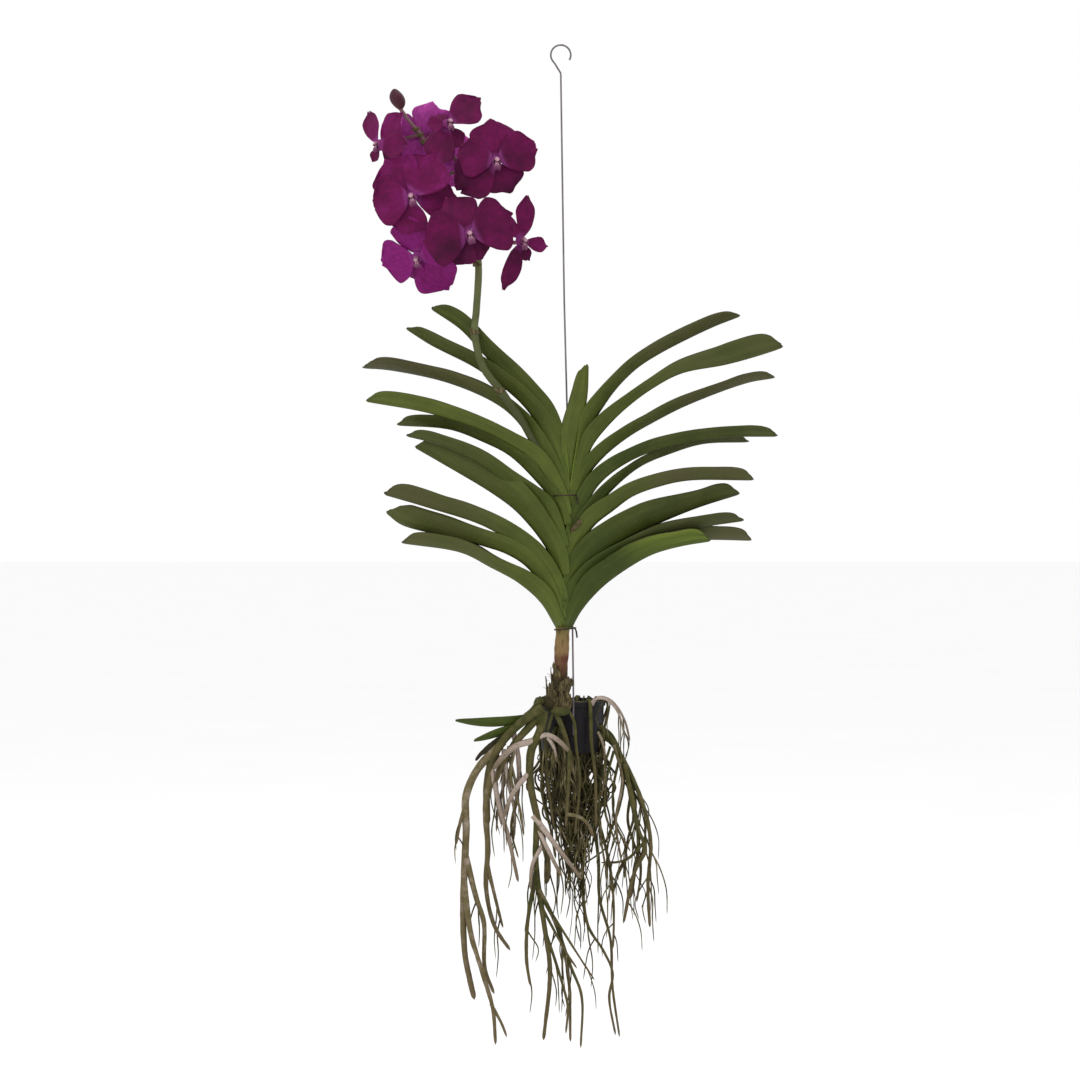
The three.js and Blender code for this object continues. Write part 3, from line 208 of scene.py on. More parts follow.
# Each root: radius at its start and tip, depth (y) at its start and tip, how pale it is, and the
# places (x, z) that it passes.
OLIVE = 0.15
DRY = 0.5
PALE = 1.0
LOWEST = -1087  # no fine root reaches below it
LEFT_ROOTS = [
    (5, 3.6, -43, -30, OLIVE, [(-20, -720), (-45, -738), (-66, -761), (-76, -783), (-80, -806),
                               (-80, -848)]),
    (4.6, 3, -37, -38, OLIVE, [(-20, -726), (-37, -744), (-50, -759), (-62, -778), (-71, -801)]),
    (4.6, 3, -36, -50, DRY, [(-62, -757), (-90, -787), (-102, -815), (-102, -850), (-105, -935),
                             (-103, -985), (-93, -1032)]),
    (2.4, 1.4, -44, -50, DRY, [(-101, -818), (-109, -846), (-112, -866)]),
    (4, 2, -34, -20, DRY, [(-74, -778), (-81, -828), (-79, -873), (-81, -917), (-72, -958),
                           (-55, -985)]),
    (3.4, 1.8, -46, -34, DRY, [(-102, -880), (-91, -925), (-83, -951), (-82, -1000),
                               (-72, -1029)]),
    (3.4, 1.8, -47, -62, DRY, [(-104, -905), (-97, -959), (-84, -1003), (-73, -1040),
                               (-70, -1078)]),
    (2, 1.2, -58, -52, DRY, [(-75, -1035), (-64, -1056), (-58, -1072)]),
    (2.6, 1.4, -28, -12, DRY, [(-80, -890), (-69, -937), (-63, -962)]),
    (3.2, 1.8, -34, -44, PALE, [(-76, -780), (-66, -828), (-57, -858), (-46, -907)]),
    (3, 2, -34, -20, PALE, [(-52, -744), (-46, -776), (-46, -806), (-51, -836)]),
    (2.4, 1.4, -38, -30, PALE, [(-62, -765), (-57, -800), (-50, -835), (-52, -868)]),
    (2.2, 1.2, -37, -24, PALE, [(-56, -762), (-63, -800), (-60, -840)]),
    (2, 1.2, -37, -42, DRY, [(-50, -757), (-54, -795), (-44, -830), (-40, -858)]),
    (2, 1.1, -37, -20, PALE, [(-46, -750), (-56, -790), (-67, -822), (-70, -856)]),
    (2.2, 1.2, -35, -38, PALE, [(-66, -772), (-71, -808), (-64, -848)]),
    (1.8, 1, -37, -30, DRY, [(-58, -765), (-48, -812), (-54, -850), (-46, -884)]),
]
CENTRE_ROOTS = [
    (5, 3, -36, -40, OLIVE, [(-18, -724), (-23, -747), (-32, -766), (-33, -802), (-24, -845),
                             (-14, -890), (-16, -910)]),
    (3.6, 2, -40, -40, OLIVE, [(-26, -840), (-27, -890), (-18, -955), (-12, -1003), (-19, -1078)]),
    (2.6, 1.6, -40, -52, OLIVE, [(-27, -900), (-36, -950), (-37, -990), (-33, -1017)]),
    (2.6, 1.4, -40, -34, DRY, [(-24, -915), (-3, -960), (8, -1010), (10, -1080)]),
    (1.8, 1.2, -40, -46, OLIVE, [(-17, -960), (0, -1012), (7, -1040), (5, -1069)]),
    (2, 1.2, -38, -42, OLIVE, [(-4, -957), (10, -998), (22, -1030), (21, -1085)]),
    (1.8, 1, -40, -50, OLIVE, [(-22, -932), (4, -980), (17, -999)]),
    (1.6, 1, -40, -46, OLIVE, [(-20, -925), (16, -982), (36, -1012)]),
    (3.4, 1.8, -40, -50, PALE, [(-30, -836), (-13, -858), (3, -879), (22, -903)]),
    (2.6, 1.6, -40, -56, PALE, [(-25, -850), (-12, -876), (1, -900)]),
    (2, 1.6, -45, -40, DRY, [(6, -834), (20, -837), (30, -847), (35, -860)]),
    (2.6, 1.6, -40, -54, PALE, [(-19, -866), (-31, -889), (-33, -913)]),
    (3.8, 2.6, -37, -48, PALE, [(-29, -756), (-48, -761), (-62, -772), (-73, -786)]),
    (3, 2, -38, -50, PALE, [(-36, -792), (-52, -812), (-62, -838)]),
    (2.8, 2.4, -38, -44, PALE, [(-26, -753), (-15, -749), (-2, -756), (9, -768)]),
    (2.2, 1.4, -43, -46, OLIVE, [(9, -766), (8, -800), (5, -848)]),
    (2.2, 1.6, -40, -42, PALE, [(-17, -750), (-9, -760), (-4, -779)]),
]
FRONT_ROOTS = [
    (2.8, 2, -35, -34, OLIVE, [(-6, -724), (5, -753), (12, -790)]),
    (2.2, 1.6, -10, -24, OLIVE, [(28, -720), (31, -712.5), (32, -726), (33, -760), (37, -795),
                                 (38, -850)]),
    (1.8, 1.2, -30, -28, OLIVE, [(7, -722), (14, -736), (16, -760), (20, -800), (15, -858)]),
    (1.6, 1.1, -12, -20, PALE, [(34, -720), (40, -711), (54, -714), (68, -733), (75, -758)]),
    (1.5, 1, -14, -34, PALE, [(32, -719), (37, -712), (50, -713), (62, -727), (69, -754)]),
    (1.8, 1.1, -36, -30, OLIVE, [(-9, -726), (-15, -750), (-14, -800), (-8, -850)]),
    (1.6, 1.1, -16, -14, DRY, [(40, -748), (46, -762), (48, -790), (44, -820)]),
]
RIGHT_ROOTS = [
    (3, 1.6, 10, -8, OLIVE, [(34, -750), (50, -753), (61, -768), (74, -791), (90, -830),
                             (98, -870), (95, -917), (97, -962)]),
    (2.6, 1.4, 10, 4, OLIVE, [(34, -757), (52, -759), (68, -787), (65, -828), (48, -874)]),
    (2.8, 1.6, -2, -10, OLIVE, [(70, -784), (84, -855), (92, -876), (80, -903), (68, -957)]),
    (2.4, 1.4, -4, 6, OLIVE, [(76, -812), (85, -862), (81, -905), (77, -932)]),
    (2, 1.2, -8, 4, OLIVE, [(94, -866), (70, -890), (44, -893)]),
    (2.2, 1.2, 8, 24, OLIVE, [(36, -746), (52, -750), (66, -775), (77, -810), (74, -850),
                              (88, -900), (84, -940)]),
    (2, 1.1, 2, -8, DRY, [(58, -764), (67, -800), (60, -848), (66, -890)]),
    (2, 1.1, 4, 12, OLIVE, [(68, -779), (82, -830), (73, -872), (70, -912)]),
    (1.7, 1.1, -2, -12, OLIVE, [(58, -770), (50, -800), (48, -835), (60, -870)]),
    (1.6, 1.1, 2, -6, OLIVE, [(64, -778), (57, -815), (60, -850), (76, -880)]),
    (1.6, 1, 6, 14, OLIVE, [(70, -785), (92, -840), (90, -880), (76, -915)]),
    (1.5, 1, -4, -16, OLIVE, [(54, -765), (44, -800), (42, -850), (50, -905)]),
]
LONG_TANGLE = [
    (2.4, 1.2, 10, 4, OLIVE, [(16, -800), (23, -880), (29, -960), (48, -992), (57, -1015),
                              (53, -1040), (60, -1082)]),
    (2.2, 1.2, 16, 22, OLIVE, [(26, -800), (41, -885), (43, -935), (55, -980), (57, -1030),
                               (65, -1088)]),
    (2.2, 1.2, 6, -4, OLIVE, [(24, -800), (42, -850), (55, -905), (58, -950), (57, -986)]),
]


# ---- settings that a user would change ----

def linear(hex_colour):
    """The linear colour of an sRGB hex value."""
    parts = [int(hex_colour[i:i + 2], 16) / 255 for i in (1, 3, 5)]
    return tuple(p / 12.92 if p <= 0.04045 else ((p + 0.055) / 1.055) ** 2.4 for p in parts)


def colour(name, description, default):
    return FloatVectorProperty(
        name=name, description=description, default=linear(default), size=3,
        subtype="COLOR", min=0, max=1,
    )


def length(name, description, default):
    return FloatProperty(
        name=name, description=description, default=default, unit="LENGTH", subtype="DISTANCE",
    )


class VandaColours(bpy.types.PropertyGroup):
    leaf: colour("Leaf", "Full-grown strap leaves", "#1f2a0c")
    leaf_light: colour("Leaf, light", "Veins and sunlit patches of the leaves", "#545c26")
    leaf_old: colour("Leaf, weathered", "Outer half of the oldest leaves", "#4a462e")
    sheath: colour("Leaf base", "Young tissue where the leaves clasp the stem", "#66762a")
    tepal: colour("Tepal", "Darkest faces of the flowers", "#370424")
    tepal_mid: colour("Tepal, middle", "Face of the flowers", "#620a43")
    tepal_lit: colour("Tepal, light", "Lightest faces of the flowers", "#7d1a6a")
    tepal_back: colour("Tepal back", "Reverse of the flowers", "#ac4299")
    lip: colour("Lip", "Lip and column", "#6e2c60")
    lip_pale: colour("Lip, pale", "Callus and cap of the column", "#b58c98")
    spike: colour("Spike", "Flower stalk", "#6c7046")
    bud: colour("Bud", "Closed bud", "#34121f")
    bark: colour("Old stem", "Bare stem", "#7c6443")
    rust: colour("Old stem, rust", "Torn skin of the bare stem", "#573428")
    paper: colour("Dead sheath", "Papery sheaths and bracts", "#50462d")
    root: colour("Root", "Green roots", "#4d4a26")
    root_pale: colour("Root, pale", "Dry velamen", "#a5958a")
    root_dark: colour("Root, dark", "Fine roots and root tips", "#3b3422")
    pot: colour("Pot", "Moulded plastic", "#0f0b10")
    steel: colour("Wire", "Drawn steel", "#8d868c")
    tie: colour("Tie", "Annealed wire", "#3a3530")


class VandaLeaves(bpy.types.PropertyGroup):
    thickness: length("Thickness", "Blade at its foot", 0.002)
    wave: length("Edge wave", "How far the edges sway", 0.0009)
    rings: IntProperty(name="Rings", description="Steps along each blade", default=56, min=12)
    columns: IntProperty(name="Columns", description="Steps across each half", default=9, min=3)


class VandaFlowers(bpy.types.PropertyGroup):
    thickness: length("Thickness", "Middle of a tepal", 0.0011)
    ruffle: FloatProperty(
        name="Ruffle", description="Height of the margin's waves, as a share of the tepal",
        default=0.05, min=0, max=0.2,
    )
    lobing: FloatProperty(
        name="Lobing", description="Depth of the margin's lobes, as a share of the tepal",
        default=0.05, min=0, max=0.2,
    )
    rows: IntProperty(name="Rows", description="Steps along a tepal", default=26, min=6)
    columns: IntProperty(name="Columns", description="Steps across a tepal", default=24, min=6)


class VandaRoots(bpy.types.PropertyGroup):
    swelling: length("Swelling", "How far knots stand out", 0.0007)
    swelling_span: length("Swelling span", "Distance between knots", 0.014)
    spacing: length("Spacing", "Steps along a root", 0.0032)
    fine: IntProperty(name="Fine roots", description="Strands of the tangle", default=120, min=0)
    seed: IntProperty(name="Seed", description="Draw of the tangle", default=7, min=0)


class VandaPot(bpy.types.PropertyGroup):
    radius: length("Radius", "At the rim", 0.037)
    height: length("Height", "Floor to rim", 0.056)
    wall: length("Wall", "Thickness", 0.0018)
    lip: length("Rim band", "How far it stands proud", 0.0006)
    taper: length("Taper", "How much smaller the foot's radius is", 0.0035)
    drain: length("Drain", "Radius of the hole in the floor", 0.020)


class VandaWire(bpy.types.PropertyGroup):
    radius: length("Wire radius", "Hanger", 0.001)
    hook: length("Hook radius", "To the middle of the wire", 0.011)
    tie_radius: length("Tie radius", "Thin binding wire", 0.0008)


class VandaStage(bpy.types.PropertyGroup):
    camera_distance: length("Camera distance", "From the plane of the plant", 2.4)
    lens: FloatProperty(name="Lens", description="Focal length in mm", default=74, min=10)
    aim_x: length("Aim, across", "Middle of the view", -0.0227)
    aim_z: length("Aim, height", "Middle of the view", -0.540)
    floor: length("Floor", "Height of the floor", -1.16)


# ---- small helpers ----

def blend(a, b, share):
    return a + (b - a) * share


def smooth(low, high, value):
    share = min(max((value - low) / (high - low), 0), 1)
    return share * share * (3 - 2 * share)


def ripple(seed, *places):
    """Smooth noise from -1 to 1; seed shifts it, places are in units of one wave."""
    padded = (list(places) + [0, 0, 0])[:3]
    return noise.noise(Vector(padded) + Vector((seed * 7.31, seed * 3.17, seed * 1.73)))


def smooth_route(points, step):
    """Places every step along a centripetal Catmull-Rom route, each with its share of the length."""
    knots = [Vector(point) for point in points]
    first = knots[0] * 2 - knots[1]
    last = knots[-1] * 2 - knots[-2]
    padded = [first, *knots, last]
    fine = [knots[0]]
    parts = 10
    for i in range(1, len(padded) - 2):
        p0, p1, p2, p3 = padded[i - 1:i + 3]
        d0, d1, d2 = [max((b - a).length, 1e-4) ** 0.5 for a, b in ((p0, p1), (p1, p2), (p2, p3))]
        t1 = ((p1 - p0) / d0 - (p2 - p0) / (d0 + d1) + (p2 - p1) / d1) * d1
        t2 = ((p2 - p1) / d1 - (p3 - p1) / (d1 + d2) + (p3 - p2) / d2) * d1
        for k in range(1, parts + 1):
            s = k / parts
            fine.append(
                p1 * (2 * s ** 3 - 3 * s ** 2 + 1) + t1 * (s ** 3 - 2 * s ** 2 + s)
                + p2 * (3 * s ** 2 - 2 * s ** 3) + t2 * (s ** 3 - s ** 2)
            )
    reach = [0]
    for a, b in zip(fine, fine[1:]):
        reach.append(reach[-1] + (b - a).length)
    count = max(2, round(reach[-1] / step))
    route = []
    at = 0
    for k in range(count + 1):
        target = reach[-1] * k / count
        while at < len(fine) - 2 and reach[at + 1] < target:
            at += 1
        span = max(reach[at + 1] - reach[at], 1e-9)
        route.append((fine[at].lerp(fine[at + 1], (target - reach[at]) / span), k / count))
    return route


def shares(count):
    """From 0 to 1 in so many even steps."""
    return [i / count for i in range(count + 1)]


def side_to_side(count):
    """From -1 to 1 in so many even steps."""
    return [2 * k / count - 1 for k in range(count + 1)]


def turns(count):
    """Where so many even steps round a circle start, in radians."""
    return [2 * math.pi * k / count for k in range(count)]


def ring(centre, right, up, radius_right, radius_up, sides):
    return [
        centre + right * math.cos(a) * radius_right + up * math.sin(a) * radius_up
        for a in turns(sides)
    ]


def at_turn(middle, wide, turn, z):
    """The place at height z that lies wide off the upright line through middle (x, y)."""
    return Vector((middle[0] + wide * math.cos(turn), middle[1] + wide * math.sin(turn), z))


class Build:
    """Gathers vertices (mm), faces, UVs and point values for one mesh."""

    def __init__(self):
        self.verts = []
        self.faces = []
        self.uvs = []
        self.values = {}

    def point(self, place, uv=(0, 0), **values):
        self.verts.append(place)
        self.uvs.append(uv)
        for name in self.values | values:
            column = self.values.setdefault(name, [0.0] * (len(self.verts) - 1))
            column.append(values.get(name, 0.0))
        return len(self.verts) - 1

    def grid(self, rows, wrap=False):
        """Quads over rows of point numbers, each row closed on itself if wrap is set."""
        for low, high in zip(rows, rows[1:]):
            count = len(low)
            for j in range(count if wrap else count - 1):
                k = (j + 1) % count
                self.faces.append((low[j], low[k], high[k], high[j]))

    def sheet(self, faces, rows, columns, point):
        """A thin solid: two grids of points, one for each face, closed along their edges."""
        outer, inner = [
            [[point(row, column, face) for column in columns] for row in rows] for face in faces
        ]
        self.grid(outer)
        self.grid([row[::-1] for row in inner])
        self.grid([[row[0] for row in outer], [row[0] for row in inner]])
        self.grid([[row[-1] for row in inner], [row[-1] for row in outer]])
        self.grid([inner[0], outer[0]])
        self.grid([outer[-1], inner[-1]])

    def skin(self, rows):
        """A round skin with closed ends over rings of point numbers."""
        self.grid(rows, wrap=True)
        self.faces += [tuple(rows[0][::-1]), tuple(rows[-1])]

    def tube(self, rings, **values):
        """A round skin over rings of places; a value is a number or goes by the share passed."""
        self.skin([
            [
                self.point(place, (j / len(places), share), **{
                    key: value(share) if callable(value) else value for key, value in values.items()
                })
                for j, place in enumerate(places)
            ]
            for share, places in zip(shares(len(rings) - 1), rings)
        ])

    def mesh(self, name):
        made = bpy.data.meshes.new(name)
        made.from_pydata([v * MM for v in self.verts], [], self.faces)
        layer = made.uv_layers.new(name="UVMap")
        for loop in made.loops:
            layer.data[loop.index].uv = self.uvs[loop.vertex_index]
        for key, column in self.values.items():
            attribute = made.attributes.new(key, "FLOAT", "POINT")
            attribute.data.foreach_set("value", column)
        shell = bmesh.new()
        shell.from_mesh(made)
        bmesh.ops.recalc_face_normals(shell, faces=shell.faces)
        shell.to_mesh(made)
        shell.free()
        made.shade_smooth()
        return made


def joined(name, meshes):
    """One mesh of several, each with its own material."""
    parts = []
    for mesh in meshes:
        part = bpy.data.objects.new(name, mesh)
        bpy.context.collection.objects.link(part)
        parts.append(part)
    with bpy.context.temp_override(active_object=parts[0], selected_editable_objects=parts):
        bpy.ops.object.join()
    whole = parts[0].data
    bpy.data.objects.remove(parts[0])
    return whole


def add_piece(name, mesh, nodes, finish=None):
    """Puts a finished mesh in the scene, on the plant's one body, for the solids it stands for."""
    mesh.name = name
    if finish:
        mesh.materials.clear()
        mesh.materials.append(finish)
    piece = bpy.data.objects.new(name, mesh)
    bpy.context.collection.objects.link(piece)
    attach(piece, "root")
    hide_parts(*nodes)
    return piece


# ---- geometry nodes ----

def link(tree, source, target):
    """Links a socket, or the first output that a node shows, to an input."""
    if isinstance(source, bpy.types.Node):
        source = next(socket for socket in source.outputs if socket.enabled)
    tree.links.new(source, target)


def add(tree, kind, inputs=None, stops=None, **settings):
    """Adds one node: its settings, its ramp's stops, and its inputs' links and values."""
    node = tree.nodes.new(kind)
    for name, value in settings.items():
        setattr(node, name, value)
    for key, value in (inputs or {}).items():
        if isinstance(value, (bpy.types.Node, bpy.types.NodeSocket)):
            link(tree, value, node.inputs[key])
        else:
            node.inputs[key].default_value = value
    if stops:
        elements = node.color_ramp.elements
        while len(elements) < len(stops):
            elements.new(0.5)
        for element, (place, value) in zip(elements, stops):
            element.position = place
            element.color = rgba(value)
    return node


SOCKET_KINDS = {float: "NodeSocketFloat", int: "NodeSocketInt", type(None): "NodeSocketMaterial"}


def new_tree(name, sockets):
    """An empty tree with geometry in and out and the named inputs; None is a material's."""
    tree = bpy.data.node_groups.new(name, "GeometryNodeTree")
    tree.interface.new_socket("Geometry", in_out="INPUT", socket_type="NodeSocketGeometry")
    for label, default in sockets.items():
        kind = SOCKET_KINDS[type(default)]
        made = tree.interface.new_socket(label, in_out="INPUT", socket_type=kind)
        if default is not None:
            made.default_value = default
    tree.interface.new_socket("Geometry", in_out="OUTPUT", socket_type="NodeSocketGeometry")
    return tree, tree.nodes.new("NodeGroupInput").outputs


def end_tree(tree, geometry, material):
    """Shades smooth, realizes the instances, sets the material and closes the tree."""
    soft = add(tree, "GeometryNodeSetShadeSmooth", {"Geometry": geometry})
    real = add(tree, "GeometryNodeRealizeInstances", {"Geometry": soft})
    painted = add(tree, "GeometryNodeSetMaterial", {"Geometry": real, "Material": material})
    add(tree, "NodeGroupOutput", {"Geometry": painted})
    return tree


def strand_tree():
    """Skins each spline of a curve: round, as thick as its points say, knotted, ends closed."""
    tree, given = new_tree("Strands", {
        "Spacing": 0.003, "Sides": 10, "Swelling": 0.0, "Swelling Span": 0.014, "Paleness": 0.0,
        "Seed": 0.0, "Material": None,
    })
    curve = add(tree, "GeometryNodeResampleCurve", {
        "Curve": given["Geometry"], "Length": given["Spacing"],
    }, mode="LENGTH")
    share = add(tree, "GeometryNodeSplineParameter")
    for name, value in (("along", share), ("pale", given["Paleness"])):
        curve = add(tree, "GeometryNodeStoreNamedAttribute", {
            "Geometry": curve, "Name": name, "Value": value,
        }, data_type="FLOAT", domain="POINT")
    circle = add(tree, "GeometryNodeCurvePrimitiveCircle", {
        "Resolution": given["Sides"], "Radius": 1.0,
    })
    skin = add(tree, "GeometryNodeCurveToMesh", {
        "Curve": curve, "Profile Curve": circle, "Scale": add(tree, "GeometryNodeInputRadius"),
        "Fill Caps": True,
    })
    scale = add(tree, "ShaderNodeMath", {0: 1.0, 1: given["Swelling Span"]}, operation="DIVIDE")
    bumps = add(tree, "ShaderNodeTexNoise", {
        "Vector": add(tree, "GeometryNodeInputPosition"), "W": given["Seed"], "Scale": scale,
        "Detail": 2.0,
    }, noise_dimensions="4D")
    middle = add(tree, "ShaderNodeMath", {0: bumps, 1: 0.5}, operation="SUBTRACT")
    height = add(tree, "ShaderNodeMath", {0: middle, 1: given["Swelling"]}, operation="MULTIPLY")
    push = add(tree, "ShaderNodeVectorMath", {
        0: add(tree, "GeometryNodeInputNormal"), "Scale": height,
    }, operation="SCALE")
    knotted = add(tree, "GeometryNodeSetPosition", {"Geometry": skin, "Offset": push})
    return end_tree(tree, knotted, given["Material"])


def tuft_tree():
    """Sets short tapered strands at random on a surface, leaning and bent."""
    tree, given = new_tree("Tufts", {
        "Density": 1000.0, "Length": 0.02, "Radius": 0.0004, "Bend": 0.01, "Seed": 1,
        "Material": None,
    })
    tip = add(tree, "ShaderNodeCombineXYZ", {"Z": given["Length"]})
    line = add(tree, "GeometryNodeCurvePrimitiveLine", {"End": tip})
    steps = add(tree, "GeometryNodeResampleCurve", {"Curve": line, "Count": 5})
    share = add(tree, "GeometryNodeSplineParameter")
    square = add(tree, "ShaderNodeMath", {0: share, 1: 2.0}, operation="POWER")
    lean = add(tree, "ShaderNodeMath", {0: square, 1: given["Bend"]}, operation="MULTIPLY")
    aside = add(tree, "ShaderNodeCombineXYZ", {"X": lean})
    bent = add(tree, "GeometryNodeSetPosition", {"Geometry": steps, "Offset": aside})
    taper = add(tree, "ShaderNodeMapRange", {
        "Value": share, "To Min": given["Radius"], "To Max": 0.0001,
    })
    profile = add(tree, "GeometryNodeCurvePrimitiveCircle", {"Resolution": 4, "Radius": 1.0})
    strand = add(tree, "GeometryNodeCurveToMesh", {
        "Curve": bent, "Profile Curve": profile, "Scale": taper, "Fill Caps": True,
    })
    spots = add(tree, "GeometryNodeDistributePointsOnFaces", {
        "Mesh": given["Geometry"], "Density": given["Density"], "Seed": given["Seed"],
    })
    turn = add(tree, "FunctionNodeRandomValue", {
        0: (-0.9, -0.9, -3.14), 1: (0.9, 0.9, 3.14), "Seed": given["Seed"],
    }, data_type="FLOAT_VECTOR")
    leaning = add(tree, "FunctionNodeRotateRotation", {
        "Rotation": spots.outputs["Rotation"], "Rotate By": turn,
    }, rotation_space="LOCAL")
    size = add(tree, "FunctionNodeRandomValue", {
        2: 0.4, 3: 1.2, "Seed": given["Seed"],
    }, data_type="FLOAT")
    tufts = add(tree, "GeometryNodeInstanceOnPoints", {
        "Points": spots, "Instance": strand, "Rotation": leaning, "Scale": size,
    })
    return end_tree(tree, tufts, given["Material"])


def grown(source, tree, inputs):
    """The plain mesh that a tree makes of an object, which it then removes."""
    modifier = source.modifiers.new(tree.name, "NODES")
    modifier.node_group = tree
    sockets = {
        item.name: item.identifier for item in tree.interface.items_tree
        if item.item_type == "SOCKET" and item.in_out == "INPUT"
    }
    for name, value in inputs.items():
        modifier[sockets[name]] = value
    seen = source.evaluated_get(bpy.context.evaluated_depsgraph_get())
    mesh = bpy.data.meshes.new_from_object(seen)
    bpy.data.objects.remove(source)
    return mesh


def strands(name, routes, material, spacing=3.0, sides=10, swelling=0.0, span=14.0, pale=0.0,
            closed=False):
    """A mesh of round strands; each route is a list of (place, radius) in mm."""
    data = bpy.data.curves.new(name, "CURVE")
    data.dimensions = "3D"
    for route in routes:
        spline = data.splines.new("POLY")
        spline.points.add(len(route) - 1)
        spline.use_cyclic_u = closed
        for target, (place, radius) in zip(spline.points, route):
            target.co = (*(place * MM), 1)
            target.radius = radius * MM
    source = bpy.data.objects.new(name, data)
    bpy.context.collection.objects.link(source)
    return grown(source, bpy.data.node_groups.get("Strands") or strand_tree(), {
        "Spacing": spacing * MM, "Sides": sides, "Swelling": swelling * MM,
        "Swelling Span": span * MM, "Paleness": pale, "Material": material,
    })


def tapered(points, start, tip, step):
    """A smooth route whose radius goes from start to tip and closes roundly at its end."""
    route = smooth_route(points, step)
    reach = sum((b[0] - a[0]).length for a, b in zip(route, route[1:]))
    rounded = tip * 1.5
    made = []
    for place, share in route:
        left = reach * (1 - share) / rounded
        closing = math.sqrt(max(1 - max(1 - left, 0) ** 2, 0.02))
        made.append((place, blend(start, tip, share) * closing))
    return made


# ---- materials ----

def rgba(value):
    """Red, green, blue and alpha of a hex value or of a colour setting."""
    return (*(linear(value) if isinstance(value, str) else value), 1)


def patches(tree, coordinates, size_mm, detail=3.0, roughness=0.55, stretch=(1, 1, 1)):
    """A noise whose spots are size_mm across, on object coordinates."""
    mapping = add(tree, "ShaderNodeMapping", {"Vector": coordinates, "Scale": stretch})
    return add(tree, "ShaderNodeTexNoise", {
        "Vector": mapping, "Scale": 1 / (size_mm * MM), "Detail": detail, "Roughness": roughness,
    })


def coated(tree, base, coats):
    """A base colour under coats. Each coat is a colour and the pattern that it shows by, as it is
    or with low and high of the pattern and how much the coat shows at each."""
    if not isinstance(base, bpy.types.Node):
        base = rgba(base)
    for hue, pattern, *spread in coats:
        if spread:
            low, high, least, most = spread
            pattern = add(tree, "ShaderNodeMapRange", {
                "Value": pattern, "From Min": low, "From Max": high, "To Min": least, "To Max": most,
            })
        base = add(tree, "ShaderNodeMix", {0: pattern, 6: base, 7: rgba(hue)}, data_type="RGBA")
    return base


def material_of(key):
    """The material of that name, made once. Its maker gives its colour, the pattern that its
    roughness follows with the least and the most, and the strength, depth (m) and pattern of each
    relief."""
    if key in bpy.data.materials:
        return bpy.data.materials[key]
    maker, roughness, constants = MATERIALS[key]
    made = bpy.data.materials.new(key)
    made.use_nodes = True
    tree = made.node_tree
    shader = tree.nodes["Principled BSDF"].inputs
    constants = {"Roughness": roughness, "IOR": 1.45, "Specular IOR Level": 0.2, **constants}
    for name, value in constants.items():
        shader[name].default_value = value
    place = add(tree, "ShaderNodeTexCoord").outputs
    tone, rough, reliefs = maker(tree, place, bpy.context.scene.vanda_colours)
    link(tree, tone, shader["Base Color"])
    if rough:
        pattern, least, most = rough
        spread = add(tree, "ShaderNodeMapRange", {"Value": pattern, "To Min": least, "To Max": most})
        link(tree, spread, shader["Roughness"])
    under = {}
    for strength, depth, pattern in reliefs:
        under = {"Normal": add(tree, "ShaderNodeBump", {
            "Strength": strength, "Distance": depth, "Height": pattern, **under,
        })}
    if under:
        link(tree, under["Normal"], shader["Normal"])
    return made


def drawn_steel(tree, place, colours):
    """Drawn steel wire, dulled by weather: grey, with lengthwise streaks of oxide that break up
    its gloss."""
    streaks = patches(tree, place["Object"], 2.2, stretch=(1, 1, 0.12))
    return coated(tree, colours.steel, [("#4e474c", streaks)]), (streaks, 0.3, 0.6), []


def annealed_wire(tree, place, colours):
    """Annealed binding wire: nearly black scale with rusty spots."""
    return coated(tree, colours.tie, [("#4a3e30", patches(tree, place["Object"], 1.5))]), None, []


def moulded_plastic(tree, place, colours):
    """Injection-moulded polypropylene: near black, satin, with a bloom of dust and algae and fine
    flow marks."""
    dust = patches(tree, place["Object"], 9, 5.0)
    grain = patches(tree, place["Object"], 0.9, 2.0)
    tone = coated(tree, colours.pot, [("#2a271e", dust, 0.5, 0.75, 0, 0.5)])
    return tone, (dust, 0.38, 0.72), [(0.25, 0.0002, grain)]


LEAF_VEINS = 24  # across a blade


